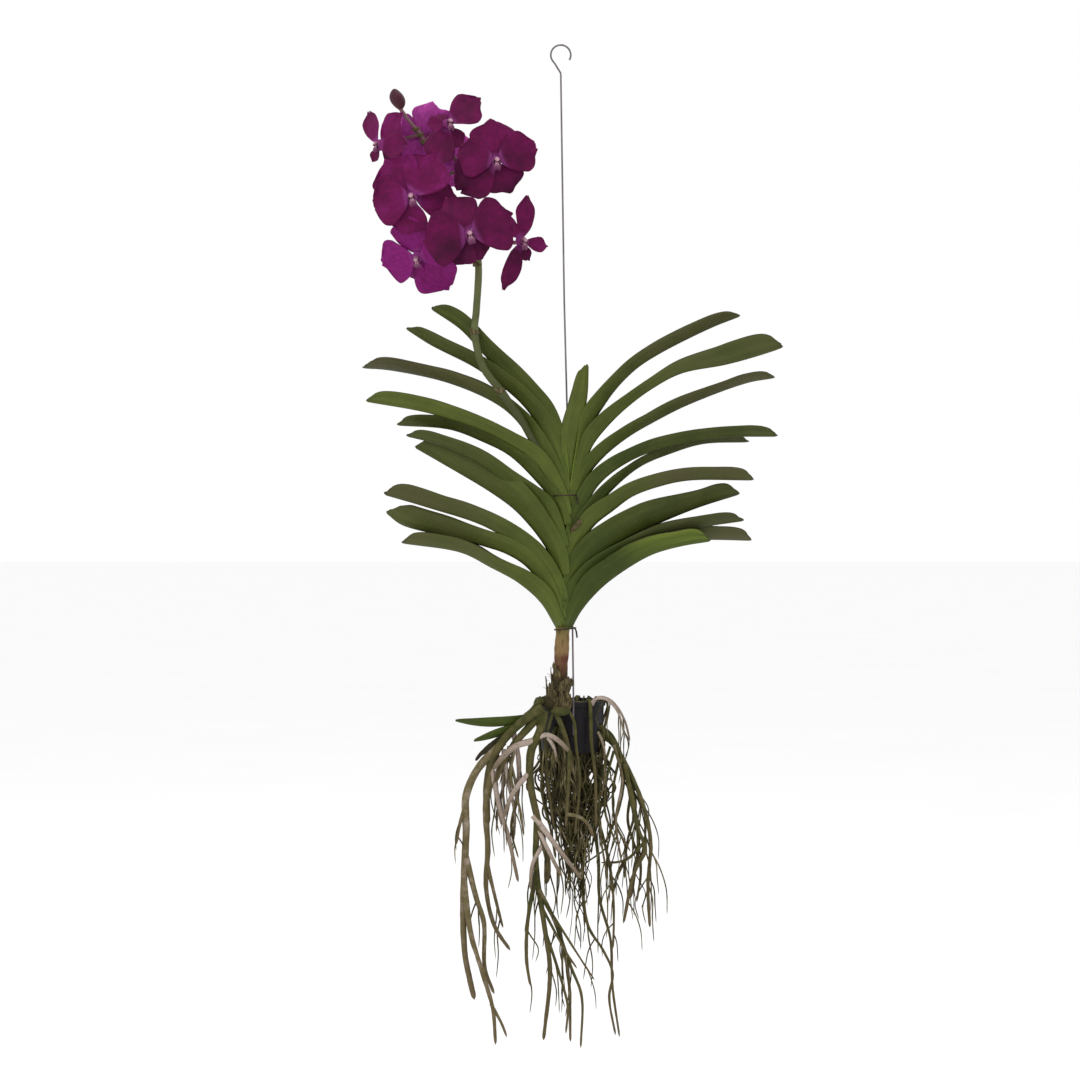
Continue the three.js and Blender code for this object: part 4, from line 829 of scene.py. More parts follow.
def waxy_leaf(tree, place, colours):
    """Waxy leaf skin: fine parallel veins every 1.3 mm run the length of the blade, lengthwise
    streaks and sun-bleached patches break up the green, the leaf base is a young yellow-green,
    the outer half of old leaves goes grey-brown, and rim and bitten tip dry brown."""
    tone, young, dull, dry = [
        add(tree, "ShaderNodeAttribute", attribute_name=name).outputs["Fac"]
        for name in ("tone", "young", "dull", "dry")
    ]
    side = add(tree, "ShaderNodeSeparateXYZ", {0: place["UV"]})
    veins = add(tree, "ShaderNodeMath", {0: side, 1: 2 * math.pi * LEAF_VEINS}, operation="MULTIPLY")
    wave = add(tree, "ShaderNodeMath", {0: veins}, operation="SINE")
    rib = add(tree, "ShaderNodeMapRange", {
        "Value": wave, "From Min": 0.2, "From Max": 1.0, "To Max": 0.3,
    })
    broad = patches(tree, place["Object"], 30, 4.0)
    long_way = add(tree, "ShaderNodeMapping", {"Vector": place["UV"], "Scale": (7, 1.6, 1)})
    streaks = add(tree, "ShaderNodeTexNoise", {"Vector": long_way, "Scale": 1.0, "Detail": 3.0})
    lit = add(tree, "ShaderNodeMath", {0: broad, 1: tone}, operation="ADD")
    streaked = add(tree, "ShaderNodeMath", {0: lit, 1: streaks}, operation="ADD")
    sun = add(tree, "ShaderNodeMapRange", {
        "Value": streaked, "From Min": 1.0, "From Max": 2.1, "To Max": 0.9,
    })
    both = add(tree, "ShaderNodeMath", {0: sun, 1: rib}, operation="ADD")
    fresh = add(tree, "ShaderNodeMath", {0: young, 1: streaks, 2: 0.12}, operation="MULTIPLY_ADD")
    weathered = add(tree, "ShaderNodeMath", {0: dull, 1: broad}, operation="MULTIPLY")
    specks = patches(tree, place["Object"], 1.6, 1.0)
    ragged = add(tree, "ShaderNodeMath", {0: dry, 1: broad}, operation="ADD")
    skin = coated(tree, colours.leaf, [
        (colours.leaf_light, both), (colours.sheath, fresh), (colours.leaf_old, weathered),
        ("#3a3218", specks, 0.7, 0.74, 0, 0.5), ("#3b3220", ragged, 1.05, 1.4, 0, 0.85),
    ])
    return skin, (broad, 0.34, 0.52), [(0.35, 0.00018, wave)]


def velvet_tepal(tree, place, colours):
    """Petal tissue: a skin of tiny domed cells keeps the deep magenta velvety and without gloss, a
    net of darker veins spreads from the claw, the reverse is lilac. The cells are drawn 0.8 mm
    wide, far coarser than real ones, so that they show."""
    # tone is each tepal's lightness: part of it is a random tone, part is painted shade that darkens the
    # two lower sepals
    tone, back, claw = [
        add(tree, "ShaderNodeAttribute", attribute_name=name).outputs["Fac"]
        for name in ("tone", "back", "claw")
    ]
    broad = patches(tree, place["Object"], 24)
    fan = add(tree, "ShaderNodeMapping", {"Vector": place["UV"], "Scale": (13, 5, 1)})
    net = add(tree, "ShaderNodeTexVoronoi", {
        "Vector": fan, "Scale": 1.0, "Randomness": 0.75,
    }, feature="DISTANCE_TO_EDGE")
    lift = add(tree, "ShaderNodeMath", {0: broad, 1: tone}, operation="ADD")
    share = add(tree, "ShaderNodeMapRange", {"Value": lift, "From Min": 0.6, "From Max": 1.5})
    face = add(tree, "ShaderNodeValToRGB", {0: share}, stops=[
        (0.0, colours.tepal), (0.5, colours.tepal_mid), (1.0, colours.tepal_lit),
    ])
    skin = coated(tree, face, [
        (colours.tepal_back, back), ("#3a0829", net, 0, 0.16, 0.32, 0), ("#8a3c80", claw),
    ])
    cells = patches(tree, place["Object"], 0.8, 2.0)
    return skin, None, [(0.3, 0.00015, cells), (0.4, 0.0002, net)]


def waxy_lip(tree, place, colours):
    """Thick waxy lip tissue: magenta lobes that pale to cream-pink on the column's cap and on
    the ridges in the throat."""
    pale, dark = [
        add(tree, "ShaderNodeAttribute", attribute_name=name).outputs["Fac"]
        for name in ("pale", "dark")
    ]
    spots = patches(tree, place["Object"], 2.5, 2.0)
    mixed = add(tree, "ShaderNodeMath", {0: spots, 1: 0.35}, operation="MULTIPLY")
    share = add(tree, "ShaderNodeMath", {0: pale, 1: mixed}, operation="ADD", use_clamp=True)
    return coated(tree, colours.lip, [(colours.lip_pale, share), ("#541840", dark)]), None, []


def spike_skin(tree, place, colours):
    """Smooth green stalk skin that flushes purple towards each flower, with a fine grain."""
    pale, along = [
        add(tree, "ShaderNodeAttribute", attribute_name=name).outputs["Fac"]
        for name in ("pale", "along")
    ]
    broad = patches(tree, place["Object"], 16)
    height = add(tree, "ShaderNodeSeparateXYZ", {0: place["Object"]}).outputs["Z"]
    low = add(tree, "ShaderNodeMapRange", {
        "Value": height, "From Min": -0.3, "From Max": -0.4, "To Min": 1.0, "To Max": 0.1,
    })
    lighter = add(tree, "ShaderNodeMath", {0: broad, 1: low}, operation="MULTIPLY")
    stalk = add(tree, "ShaderNodeMath", {0: pale, 1: along}, operation="MULTIPLY")
    high = add(tree, "ShaderNodeMapRange", {
        "Value": height, "From Min": -0.2, "From Max": -0.13, "To Max": 0.8,
    })
    flushed = add(tree, "ShaderNodeMath", {0: stalk, 1: high}, operation="MAXIMUM")
    skin = coated(tree, "#3a4022", [
        (colours.spike, lighter), ("#6e4452", flushed, 0.35, 0.95, 0, 1),
    ])
    return skin, None, [(0.2, 0.0002, patches(tree, place["Object"], 1.2, 2.0))]


def bud_skin(tree, place, colours):
    """Tight bud: wine-brown with greenish seams and a satin skin."""
    spots = patches(tree, place["Object"], 4, stretch=(1, 1, 0.4))
    seam = add(tree, "ShaderNodeAttribute", attribute_name="seam").outputs["Fac"]
    return coated(tree, colours.bud, [("#481a28", spots), ("#54402f", seam)]), None, []


def corky_stem(tree, place, colours):
    """Old stem skin: still green at its top, then tan cork, torn rust-brown and a mossy dark brown
    at its foot, with lengthwise cracks."""
    cracks = patches(tree, place["Object"], 3.2, 5.0, 0.65, stretch=(1, 1, 0.3))
    height = add(tree, "ShaderNodeSeparateXYZ", {0: place["Object"]}).outputs["Z"]
    low = add(tree, "ShaderNodeMapRange", {"Value": height, "From Min": -0.652, "From Max": -0.668})
    uneven = add(tree, "ShaderNodeMath", {0: low, 1: cracks}, operation="MULTIPLY")
    skin = coated(tree, colours.bark, [
        (colours.rust, uneven, 0.3, 0.55, 0, 1), ("#6b6836", height, -0.65, -0.636, 0, 0.7),
        ("#35301d", height, -0.672, -0.692, 0, 1), ("#2a2016", cracks, 0.3, 0.48, 0.75, 0),
    ])
    return skin, None, [(0.7, 0.0008, cracks)]


def papery_sheath(tree, place, colours):
    """Dead sheath: dry parchment with long fibres, from straw to dark brown."""
    fibres = patches(tree, place["Object"], 1.6, 4.0, 0.6, stretch=(1, 1, 0.15))
    tone = add(tree, "ShaderNodeValToRGB", {0: fibres}, stops=[
        (0.35, "#261c12"), (0.52, colours.paper), (0.75, "#7a6f4e"),
    ])
    return tone, None, [(0.6, 0.0004, fibres)]


def withered_leaf(tree, place, colours):
    """Withered leaf: blackish olive, shrivelled lengthwise."""
    folds = patches(tree, place["Object"], 4, 4.0)
    return coated(tree, "#1e1a12", [("#3d3826", folds)]), None, [(0.5, 0.0006, folds)]


def root_velamen(tree, place, colours):
    """Velamen, the spongy skin of aerial roots: green where it is wet, silver-tan where it is dry,
    with a rough grain and dirt in it."""
    pale, along = [
        add(tree, "ShaderNodeAttribute", attribute_name=name).outputs["Fac"]
        for name in ("pale", "along")
    ]
    broad = patches(tree, place["Object"], 12, 4.0, 0.6)
    dryness = add(tree, "ShaderNodeMath", {0: pale, 1: broad}, operation="ADD")
    share = add(tree, "ShaderNodeMapRange", {"Value": dryness, "From Min": 0.55, "From Max": 1.35})
    skin = add(tree, "ShaderNodeValToRGB", {0: share}, stops=[
        (0.0, "#3a3c1a"), (0.2, colours.root), (0.55, "#685d40"), (0.9, colours.root_pale),
    ])
    dirt = patches(tree, place["Object"], 2.4, 4.0, 0.7)
    tone = coated(tree, skin, [
        ("#5e5038", along, 0.25, 0.9, 0, 0.8), (colours.root_dark, dirt, 0.3, 0.48, 0.6, 0),
    ])
    return tone, None, [(0.5, 0.0005, dirt)]


def fine_root(tree, place, colours):
    """Thin old roots: dark olive-brown, matt, here and there bleached."""
    tone = add(tree, "ShaderNodeValToRGB", {0: patches(tree, place["Object"], 15)}, stops=[
        (0.3, "#323016"), (0.45, colours.root_dark), (0.57, "#524c2a"), (0.72, "#857a62"),
    ])
    return tone, None, []


def pale_paint(tree, place, colours):
    """Matt white studio paint: an even pale ground with hardly any pattern and no gloss."""
    cloudy = patches(tree, place["Object"], 400, 2.0)
    return coated(tree, "#f8f8f8", [("#fcfcfc", cloudy)]), None, []


# Each material: its maker, its roughness, and its other constants where they aren't the usual.
MATERIALS = {
    "Drawn steel": (drawn_steel, 0.42, {"Metallic": 1, "IOR": 1.5}),
    "Annealed wire": (annealed_wire, 0.6, {"Metallic": 0.8, "IOR": 1.5}),
    "Moulded polypropylene": (moulded_plastic, 0.5, {"IOR": 1.49}),
    "Waxy leaf": (waxy_leaf, 0.42, {"Specular IOR Level": 0.16}),
    "Velvet tepal": (velvet_tepal, 0.6, {
        "Specular IOR Level": 0.12, "Sheen Weight": 0.04, "Sheen Roughness": 0.4,
        "Sheen Tint": rgba("#b45ac8"),
    }),
    "Waxy lip": (waxy_lip, 0.42, {"Specular IOR Level": 0.25}),
    "Stalk skin": (spike_skin, 0.45, {}),
    "Bud skin": (bud_skin, 0.45, {}),
    "Corky stem": (corky_stem, 0.82, {}),
    "Papery sheath": (papery_sheath, 0.78, {}),
    "Withered leaf": (withered_leaf, 0.75, {}),
    "Root velamen": (root_velamen, 0.72, {}),
    "Fine root": (fine_root, 0.78, {}),
    "White studio paint": (pale_paint, 0.9, {}),
}


# ---- leaves ----

def stem_x(z):
    share = (z - STEM_FOOT[1]) / (STEM_TOP[1] - STEM_FOOT[1])
    return STEM_FOOT[0] + (STEM_TOP[0] - STEM_FOOT[0]) * share


class Leaf:
    """One strap leaf: its keel climbs beside the stem, which its two halves clasp, then arches
    out; each older leaf lies over the foot of the younger ones."""

    def __init__(self, side, number, spec):
        self.foot, self.neck, self.wide, self.open, self.roll, depth, self.dull, keel = spec
        self.side = side
        self.seed = number + 10 + 10 * side
        self.tone = LEAF_TONES[side][number - (side < 0)]
        self.clasp = CLASP_DEPTH + CLASP_STEP * number
        if side < 0 and number > 3:
            self.clasp += SPIKE_ROOM
        self.fresh = 0.35 if number > 1 else 1.4
        self.crown = not number
        self.narrows = 0.58 if self.crown else 0.87
        last = len(keel) - 1
        self.route = [place for place, _ in smooth_route(
            [(x, STEM_Y + depth * (i / last) ** 2, z) for i, (x, z) in enumerate(keel)], 2.5)]
        self.length = 2.5 * len(self.route)

    def at(self, t):
        place = t * (len(self.route) - 1)
        low = min(int(place), len(self.route) - 2)
        return self.route[low].lerp(self.route[low + 1], place - low)

    def off_axis(self, place):
        return self.side * (place.x - stem_x(place.z))

    def section(self, t):
        """The keel's place and heading there, the leaf's up and depth, how far the halves open
        and how wide they are."""
        centre = self.at(t)
        tangent = (self.at(min(t + 0.02, 1)) - self.at(max(t - 0.02, 0))).normalized()
        depth = (Y_AXIS - tangent * tangent.y).normalized()
        up = tangent.cross(depth) * self.side
        to_axis = max(self.off_axis(centre), 5)
        clasped = math.atan2(self.clasp, to_axis)
        opened = math.radians(blend(self.open[0], self.open[1], smooth(0.5, 1, t)))
        angle = opened if self.crown else blend(clasped, opened, smooth(0.18, 0.5, t))
        roll = math.radians(self.roll) * smooth(0.3, 0.7, t)
        base, middle, outer = self.wide
        late = max(t - self.narrows, 0) / (1 - self.narrows)
        wide = blend(blend(base, middle, smooth(0.2, 0.5, t)), outer, smooth(0.5, 0.85, t))
        wide *= 0.32 + 0.68 * max(1 - late ** 2.2, 0) ** 0.6
        inward = max(-self.side * up.x, 0.2)
        past = (to_axis + CLASP_PAST[self.side]) / inward
        necked = (to_axis - self.neck * (centre.z - self.foot)) / (inward + self.neck * up.z)
        if not self.crown:
            wide = (wide ** -6 + past ** -6 + max(necked, 3) ** -6) ** (-1 / 6)
        half = wide / max(math.cos(angle - roll), 0.4)
        rolled_up = up * math.cos(roll) + depth * math.sin(roll)
        rolled_depth = depth * math.cos(roll) - up * math.sin(roll)
        return centre, tangent, rolled_up, rolled_depth, angle, half

    def place(self, section, t, v, face, sizes):
        """v runs from -1, the front edge, over the keel to 1; face is -1 outside, 1 inside."""
        centre, tangent, up, depth, angle, half = section
        w = abs(v)
        sign = 1 if v >= 0 else -1
        half *= 1 + 0.03 * ripple(self.seed, t * 9, sign * 2)
        thick = sizes.thickness / MM * (1 - 0.35 * t) / 2
        outward = -(up * math.sin(angle) - depth * sign * math.cos(angle))
        sheet = up * math.cos(angle) + depth * sign * math.sin(angle)
        bow = (0.05 * half * smooth(0.2, 0.5, t) + 1.2 * (1 - smooth(0, 0.3, t))) * math.sin(
            math.pi * min(w * 1.06, 1))
        curl = -0.12 * half * w * w * smooth(0.3, 0.7, t)
        fold = -0.5 * math.exp(-(((w - 0.45) / 0.12) ** 2)) * (0.5 + ripple(self.seed + 2, t * 4, sign))
        sway = sizes.wave / MM * w * w * smooth(0.2, 0.4, t) * math.sin(
            t * self.length / 21 + self.seed + sign)
        near_keel = smooth(0, 0.16, w)
        normal = (outward * near_keel - up * (1 - near_keel)).normalized()
        rim = 1 - 0.62 * smooth(0.86, 1, w)
        rib = math.exp(-((w / 0.1) ** 2)) * (0.75 if face < 0 else -0.15)
        offset = thick * (0.7 * rim + rib)
        bite = smooth(0.94, 1, t)
        jag = 1.5 * ripple(self.seed + 4, v * 3.5) - 4.5 * w ** 1.6 + (2 if v < 0 else -1)
        return (
            centre + sheet * half * w + outward * (bow + curl + sway + fold)
            - normal * face * offset + tangent * bite * jag
        )

    def build(self, sizes):
        """A thin solid with its outside and inside."""
        build = Build()

        def point(row, v, face):
            t, section = row
            young = self.fresh * (1 - smooth(0.02, 0.36, t))
            young -= min(self.dull, 0) * smooth(0.45, 0.75, t)
            rim = 0.9 * smooth(0.92, 1, abs(v)) * smooth(0.3, 0.6, t)
            return build.point(
                self.place(section, t, v, face, sizes), ((v + 1) / 2, t), tone=self.tone,
                young=young * (0.35 + 0.65 * abs(v)), dry=max(smooth(0.94, 1.03, t), rim),
                dull=1.5 * max(self.dull, 0) * smooth(0.3, 0.75, t),
            )

        columns = [k / sizes.columns for k in range(-sizes.columns, sizes.columns + 1)]
        rows = [(t, self.section(t)) for t in shares(sizes.rings - 1)]
        build.sheet((-1, 1), rows, columns, point)
        return build


def all_leaves():
    leaves = [("crown", Leaf(1, 0, CROWN_LEAF))]
    for side, label, table in ((-1, "left", LEFT_LEAVES), (1, "right", RIGHT_LEAVES)):
        for number, spec in enumerate(table, 1):
            leaves.append((f"{label}_{number:02d}", Leaf(side, number, spec)))
    return leaves


class VANDA_OT_leaves(bpy.types.Operator):
    """Strap leaves with keel, channel, swaying edges and bitten tips"""
    bl_idname = "vanda.leaves"
    bl_label = "Leaves"

    def execute(self, context):
        sizes = context.scene.vanda_leaves
        for name, leaf in all_leaves():
            mesh = leaf.build(sizes).mesh(name)
            add_piece("blade_" + name, mesh, ["leaf_" + name], material_of("Waxy leaf"))
        return {"FINISHED"}


class VANDA_OT_leafy_stem(bpy.types.Operator):
    """Green stem that the leaves clasp, with the stub of an old spike"""
    bl_idname = "vanda.leafy_stem"
    bl_label = "Leafy stem"

    def execute(self, context):
        core = [
            (Vector((stem_x(z), STEM_Y, z)), 5.4 - 3.2 * smooth(-520, -470, z))
            for z in range(STEM_FOOT[1], STEM_TOP[1] - 35, 10)
        ]
        stem = strands("core", [core], material_of("Waxy leaf"), sides=24, swelling=0.5)
        add_piece("leafy_stem", stem, ["stem_leafy"])
        x = stem_x(-527)
        stub = [
            (Vector((x, STEM_Y - 3, -532)), 2.8), (Vector((x + 7, STEM_Y - 8, -526)), 2.6),
            (Vector((x + 12, STEM_Y - 12.5, -520)), 3.0),
            (Vector((x + 13.4, STEM_Y - 13.5, -518.5)), 1.2),
        ]
        mesh = strands("stub", [stub], material_of("Papery sheath"), 0.8, 12, 0.9, 3)
        add_piece("cut_spike", mesh, ["stem_leafy"])
        return {"FINISHED"}


# ---- old stem ----

def old_stem_build():
    build = Build()
    top = STEM_FOOT[1] + 6
    height = top - ROOT_CROWN[1]
    rings = []
    for share in shares(44):
        scar = 0.55 * math.cos(share * 6 * math.pi) ** 3
        radius = 7.7 + scar + 4 * smooth(0.7, 1, share)
        x = STEM_FOOT[0] - 1 + (ROOT_CROWN[0] - STEM_FOOT[0]) * share ** 1.5
        places = []
        for turn in turns(36):
            wide = radius * (1 + 0.07 * ripple(2, math.cos(turn) * 2, math.sin(turn) * 2, share * 7))
            places.append(Vector((
                x + wide * math.cos(turn), STEM_Y + wide * 0.72 * math.sin(turn), top - height * share,
            )))
        rings.append(places)
    build.tube(rings)
    for x, y, *radii in ((-9, -3, 11, 6.5, 9), (4, -2, 9, 6, 8)):
        build.tube(knuckle_rings(Vector((x, STEM_Y + y, -716)), radii, 0.12, x))
    return build


def knuckle_rings(centre, radii, rough, seed):
    """Rings of a lumpy ball, from its lowest to its highest."""
    rings = []
    for share in shares(12):
        polar = math.pi * (0.02 + 0.96 * share)
        places = []
        for turn in turns(20):
            way = Vector((
                math.sin(polar) * math.cos(turn), math.sin(polar) * math.sin(turn), -math.cos(polar),
            ))
            swell = 1 + rough * ripple(seed, way.x * 2, way.y * 2, way.z * 2)
            places.append(centre + way * Vector(radii) * swell)
        rings.append(places)
    return rings


# Dead sheaths: foot (x, y from the stem's plane, z), top, half turn (degrees), radius, middle turn.
DEAD_SHEATHS = [
    ((0, 0, -688), 20, 80, 8.2, 200), ((-1, 0, -700), 26, 75, 9.4, 160),
    ((0, 0, -704), 22, 80, 8.8, 300), ((-3, -1, -716), 28, 62, 11.5, 215),
    ((0, -3, -723), 28, 62, 11.5, 280), ((-7, -2, -714), 36, 40, 8.5, 185),
    ((0, 1, -708), 26, 80, 9.6, 90),
]


def dead_sheaths_build():
    build = Build()
    for number, (foot, tall, half_turn, radius, middle) in enumerate(DEAD_SHEATHS):
        def point(share, side, face):
            torn = 0.72 + 0.28 * ripple(number, side * 4, 1) - 0.3 * side * side
            turn = math.radians(middle + side * half_turn * (1 - 0.45 * share))
            flare = radius + 3.2 * share ** 2 + 0.8 * ripple(number + 3, side * 3, share * 2)
            return build.point(Vector((
                stem_x(-650) + foot[0] - 3 * (1 - share) + (flare + face) * math.cos(turn),
                STEM_Y + foot[1] + (flare + face) * 0.74 * math.sin(turn),
                foot[2] + tall * share * torn,
            )))

        build.sheet((0.25, -0.25), shares(12), side_to_side(18), point)
    return build


class VANDA_OT_old_stem(bpy.types.Operator):
    """Bare brown stem with its root crown, torn sheaths and fibres"""
    bl_idname = "vanda.old_stem"
    bl_label = "Old stem"

    def execute(self, context):
        mesh = old_stem_build().mesh("old_stem")
        add_piece("old_stem", mesh, ["stem_old"], material_of("Corky stem"))
        paper = material_of("Papery sheath")
        torn = dead_sheaths_build().mesh("dead_sheaths")
        sheaths = add_piece("dead_sheaths", torn, ["stem_old"], paper)
        source = bpy.data.objects.new("fibres", sheaths.data.copy())
        context.collection.objects.link(source)
        tree = bpy.data.node_groups.get("Tufts") or tuft_tree()
        fibres = grown(source, tree, {
            "Density": 16000.0, "Length": 0.0045, "Radius": 0.00035, "Bend": 0.002, "Seed": 4,
            "Material": paper,
        })
        add_piece("stem_fibres", fibres, ["stem_old"])
        return {"FINISHED"}


# ---- offshoot ----

def small_blade(build, foot, middle, tip, half_width, y, shrivel=0.0):
    """A short blade, folded along its keel, that tapers to a point."""
    a, b, c = (
        Vector((foot[0], y, foot[1])), Vector((middle[0], y - 5, middle[1])),
        Vector((tip[0], y + 3, tip[1])),
    )

    def point(t, v, face):
        centre = a * (1 - t) ** 2 + b * 2 * t * (1 - t) + c * t * t
        tangent = ((b - a) * (1 - t) + (c - b) * t).normalized()
        depth = (Y_AXIS - tangent * tangent.y).normalized()
        up = depth.cross(tangent)
        half = half_width * (0.7 + 0.3 * math.sin(math.pi * t)) * math.sqrt(1.02 - t ** 3)
        thick = face * 0.8 * (1 - 0.6 * abs(v) ** 4)
        crumple = shrivel * ripple(half_width, t * 7, v * 2)
        return build.point(
            centre + up * (abs(v) ** 1.2 * half * 0.95 + thick + crumple)
            + depth * (v * half * 0.5 + crumple),
            ((v + 1) / 2, t), tone=0.1, young=0.15, dry=smooth(0.93, 1, t),
        )

    build.sheet((-1, 1), shares(32), side_to_side(12), point)


class VANDA_OT_offshoot(bpy.types.Operator):
    """Young shoot at the root crown: two green leaves and a withered one"""
    bl_idname = "vanda.offshoot"
    bl_label = "Offshoot"

    def execute(self, context):
        y = STEM_Y - 9
        green = material_of("Waxy leaf")
        build = Build()
        small_blade(build, (-38, -735), (-76, -746), (-114, -735), 10, y + 3)
        small_blade(build, (-44, -741), (-72, -755), (-94, -757), 8, y + 3)
        blades = build.mesh("offshoot")
        blades.materials.append(green)
        route = tapered([(-20, y + 4, -711), (-32, y + 3, -726), (-47, y + 3, -737)], 4.4, 3.8, 3)
        stem = strands("offshoot", [route], material_of("Root velamen"), 2, 14, 1.6, 9)
        add_piece("offshoot_green", joined("offshoot", [blades, stem]), ["offshoot"])
        dead = Build()
        small_blade(dead, (-52, -748), (-76, -764), (-92, -778), 6, STEM_Y - 8, 0.9)
        add_piece("withered_leaf", dead.mesh("withered_leaf"), ["offshoot_dead_leaf"],
                  material_of("Withered leaf"))
        return {"FINISHED"}


# ---- flowers ----

class Bloom:
    """The face of a flower: forward, up and right after its roll, and its tepals."""

    def __init__(self, number, spec):
        at, faces, roll, self.size, self.stalk_from, self.glow = spec
        self.number = number
        self.centre = Vector(at)
        self.forward = Vector(faces).normalized()
        level = (Z_AXIS - self.forward * self.forward.z).normalized()
        angle = math.radians(roll)
        self.up = level * math.cos(angle) + self.forward.cross(level) * math.sin(angle)
        self.right = self.up.cross(self.forward)

    def place(self, x, y, z, turn=0.0):
        turned_x = x * math.cos(turn) - y * math.sin(turn)
        turned_y = x * math.sin(turn) + y * math.cos(turn)
        return self.centre + self.right * turned_x + self.up * turned_y + self.forward * z


def tepal_half_width(u):
    """A short claw, then a broad round blade."""
    if u < 0.62:
        return 0.2 + 0.8 * math.sin(math.pi / 2 * u / 0.62) ** 0.85
    return math.sqrt(1 - ((u - 0.62) / 0.42) ** 2)


def tepal_point(bloom, index, u, v, face, flowers):
    """A place on a tepal, u from its claw to its end, v from side to side, face -1 or 1."""
    turn, long, wide, lean = TEPALS[bloom.number - 1][index]
    seed = bloom.number * 5 + index
    w = abs(v)
    lobes = flowers.lobing * u ** 3 * (
        1.3 * ripple(seed, v * 2.3, 2) + 0.35 * ripple(seed + 9, v * 6.5, 1)
    )
    flank = flowers.lobing * w ** 3 * (
        1.3 * ripple(seed + 3, u * 3, v) + 0.35 * ripple(seed + 5, u * 9, v)
    )
    depth = max(ripple(seed + 7, 0.4), 0) * 0.22
    notch = depth * math.exp(-(((v - 0.6 * ripple(seed + 8, 0.3)) / 0.13) ** 2)) * u ** 6
    along = (long - CLAW_START) * (u - 0.17 * v * v * u ** 3) * (1 + lobes - notch)
    across = v * wide / 2 * tepal_half_width(u) * (1 + flank)
    wave = 0.03 * long * math.sin(2.6 * v + 4.2 * u + turn) * u * u
    cup = 0.05 * long * (v * v - 0.4) * u
    bend = -long * (0.07 + 0.12 * ripple(seed + 1, 0.6)) * u * u
    ruffle = flowers.ruffle * long * (
        ripple(seed + 2, v * 1.9, u * 2.2) * max(u, w) ** 3
        + 0.4 * ripple(seed + 6, v * 4.5, u * 4.5) * max(u, w) ** 5
    )
    crease = -0.5 * math.exp(-((v / 0.07) ** 2)) * (1 - 0.7 * u)
    thick = flowers.thickness / MM / 2 * (1 - 0.6 * max(u, w) ** 5)
    height = TEPAL_RISES[index] + along * math.tan(math.radians(lean))
    height += wave + cup + bend + ruffle + crease + face * thick
    short = math.cos(math.radians(lean))
    return bloom.place(across, along * short + CLAW_START, height, math.radians(turn))


def tepals_build(bloom, flowers):
    build = Build()
    for index in range(len(TEPAL_RISES)):
        tone = bloom.glow + 0.16 * ripple(bloom.number * 5 + index, 0.5, 0.2)
        # painted shade: the two lower sepals (index 3 and 4) are made darker, as if they lay in shade
        if index > 2:
            tone -= 0.14

        def point(u, v, face):
            return build.point(
                tepal_point(bloom, index, u, v, face, flowers), ((v + 1) / 2, u), tone=tone,
                back=1.0 if face < 0 else 0.0, claw=0.55 * (1 - smooth(0.02, 0.16, u)),
            )

        build.sheet((1, -1), shares(flowers.rows), side_to_side(flowers.columns), point)
    hub = [
        ring(bloom.place(0, 0, height), bloom.right, bloom.up, radius, radius, 20)
        for height, radius in HUB
    ]
    build.tube(hub, claw=0.5, tone=bloom.glow)
    return build


def lip_build(bloom):
    """Column with its cap, three-lobed lip with ridges, and two small side lobes."""
    build = Build()
    scale = bloom.size / 54

    def on(x, y, z):
        return bloom.place(x * scale, y * scale, z * scale)

    column = [
        ring(on(0, forward, height), bloom.right, bloom.up, radius * scale, radius * 0.9 * scale, 18)
        for height, radius, forward in (
            (2.6, 2.2, 1.4), (4.5, 2.9, 1.6), (7, 3.4, 1.5), (9, 3.5, 1.0), (10.6, 3.1, 0.4),
            (11.8, 2.2, -0.2), (12.3, 0.9, -0.5),
        )
    ]
    build.tube(column, pale=lambda share: 0.15 + 0.7 * smooth(0.6, 0.95, share), dark=0.0)
    for side in (-1, 1):
        lobe(build, on, side)
    midlobe(build, on)
    for x in (-1.1, 1.1):
        ridge = [
            ring(on(x, y, z), bloom.right, bloom.forward, r * scale, r * scale, 8)
            for y, z, r in ((-1.5, 6.2, 0.5), (-3.5, 8.2, 0.9), (-6, 9.4, 0.8), (-8, 10, 0.3))
        ]
        build.tube(ridge, pale=0.8, dark=0.0)
    return build


def lobe(build, on, side):
    """A side lobe of the lip: a small ear that stands beside the column."""
    def point(u, v, face):
        half = 2.6 * math.sqrt(max(1 - (u * 0.96) ** 2.4, 0.02))
        place = on(side * (2.6 + 2.4 * u + face), -1.6 + v * half, 3.4 + 6.2 * u + 0.5 * v)
        return build.point(place, ((v + 1) / 2, u), pale=0.1 + 0.3 * (1 - u), dark=0.2 + 0.4 * u)

    build.sheet((0.3, -0.3), shares(8), side_to_side(8), point)


def midlobe(build, on):
    """The middle lobe: waisted, ridged along its middle, spread and notched at its end."""
    def point(u, v, face):
        waist = 2.4 + 2.4 * smooth(0.15, 0.5, u) - 1.2 * math.sin(math.pi * u) ** 4 * (u < 0.5)
        half = waist * (1 - 0.35 * smooth(0.85, 1, u))
        rise = 6 + 5.0 * math.sin(math.pi * min(u * 0.95, 1) * 0.72) - 2.6 * u ** 3
        droop = -1.5 * v * v * (0.4 + u)
        ridge = 0.7 * math.exp(-((v / 0.2) ** 2)) * (1 - u)
        notch = 1.4 * math.exp(-((v / 0.25) ** 2)) * smooth(0.8, 1, u)
        return build.point(
            on(v * half, -1 - 12.5 * u + notch, rise + droop + ridge + face), ((v + 1) / 2, u),
            pale=0.25 * (1 - u), dark=0.25 + 0.5 * smooth(0.25, 0.8, u),
        )

    build.sheet((0.45, -0.45), shares(18), side_to_side(12), point)


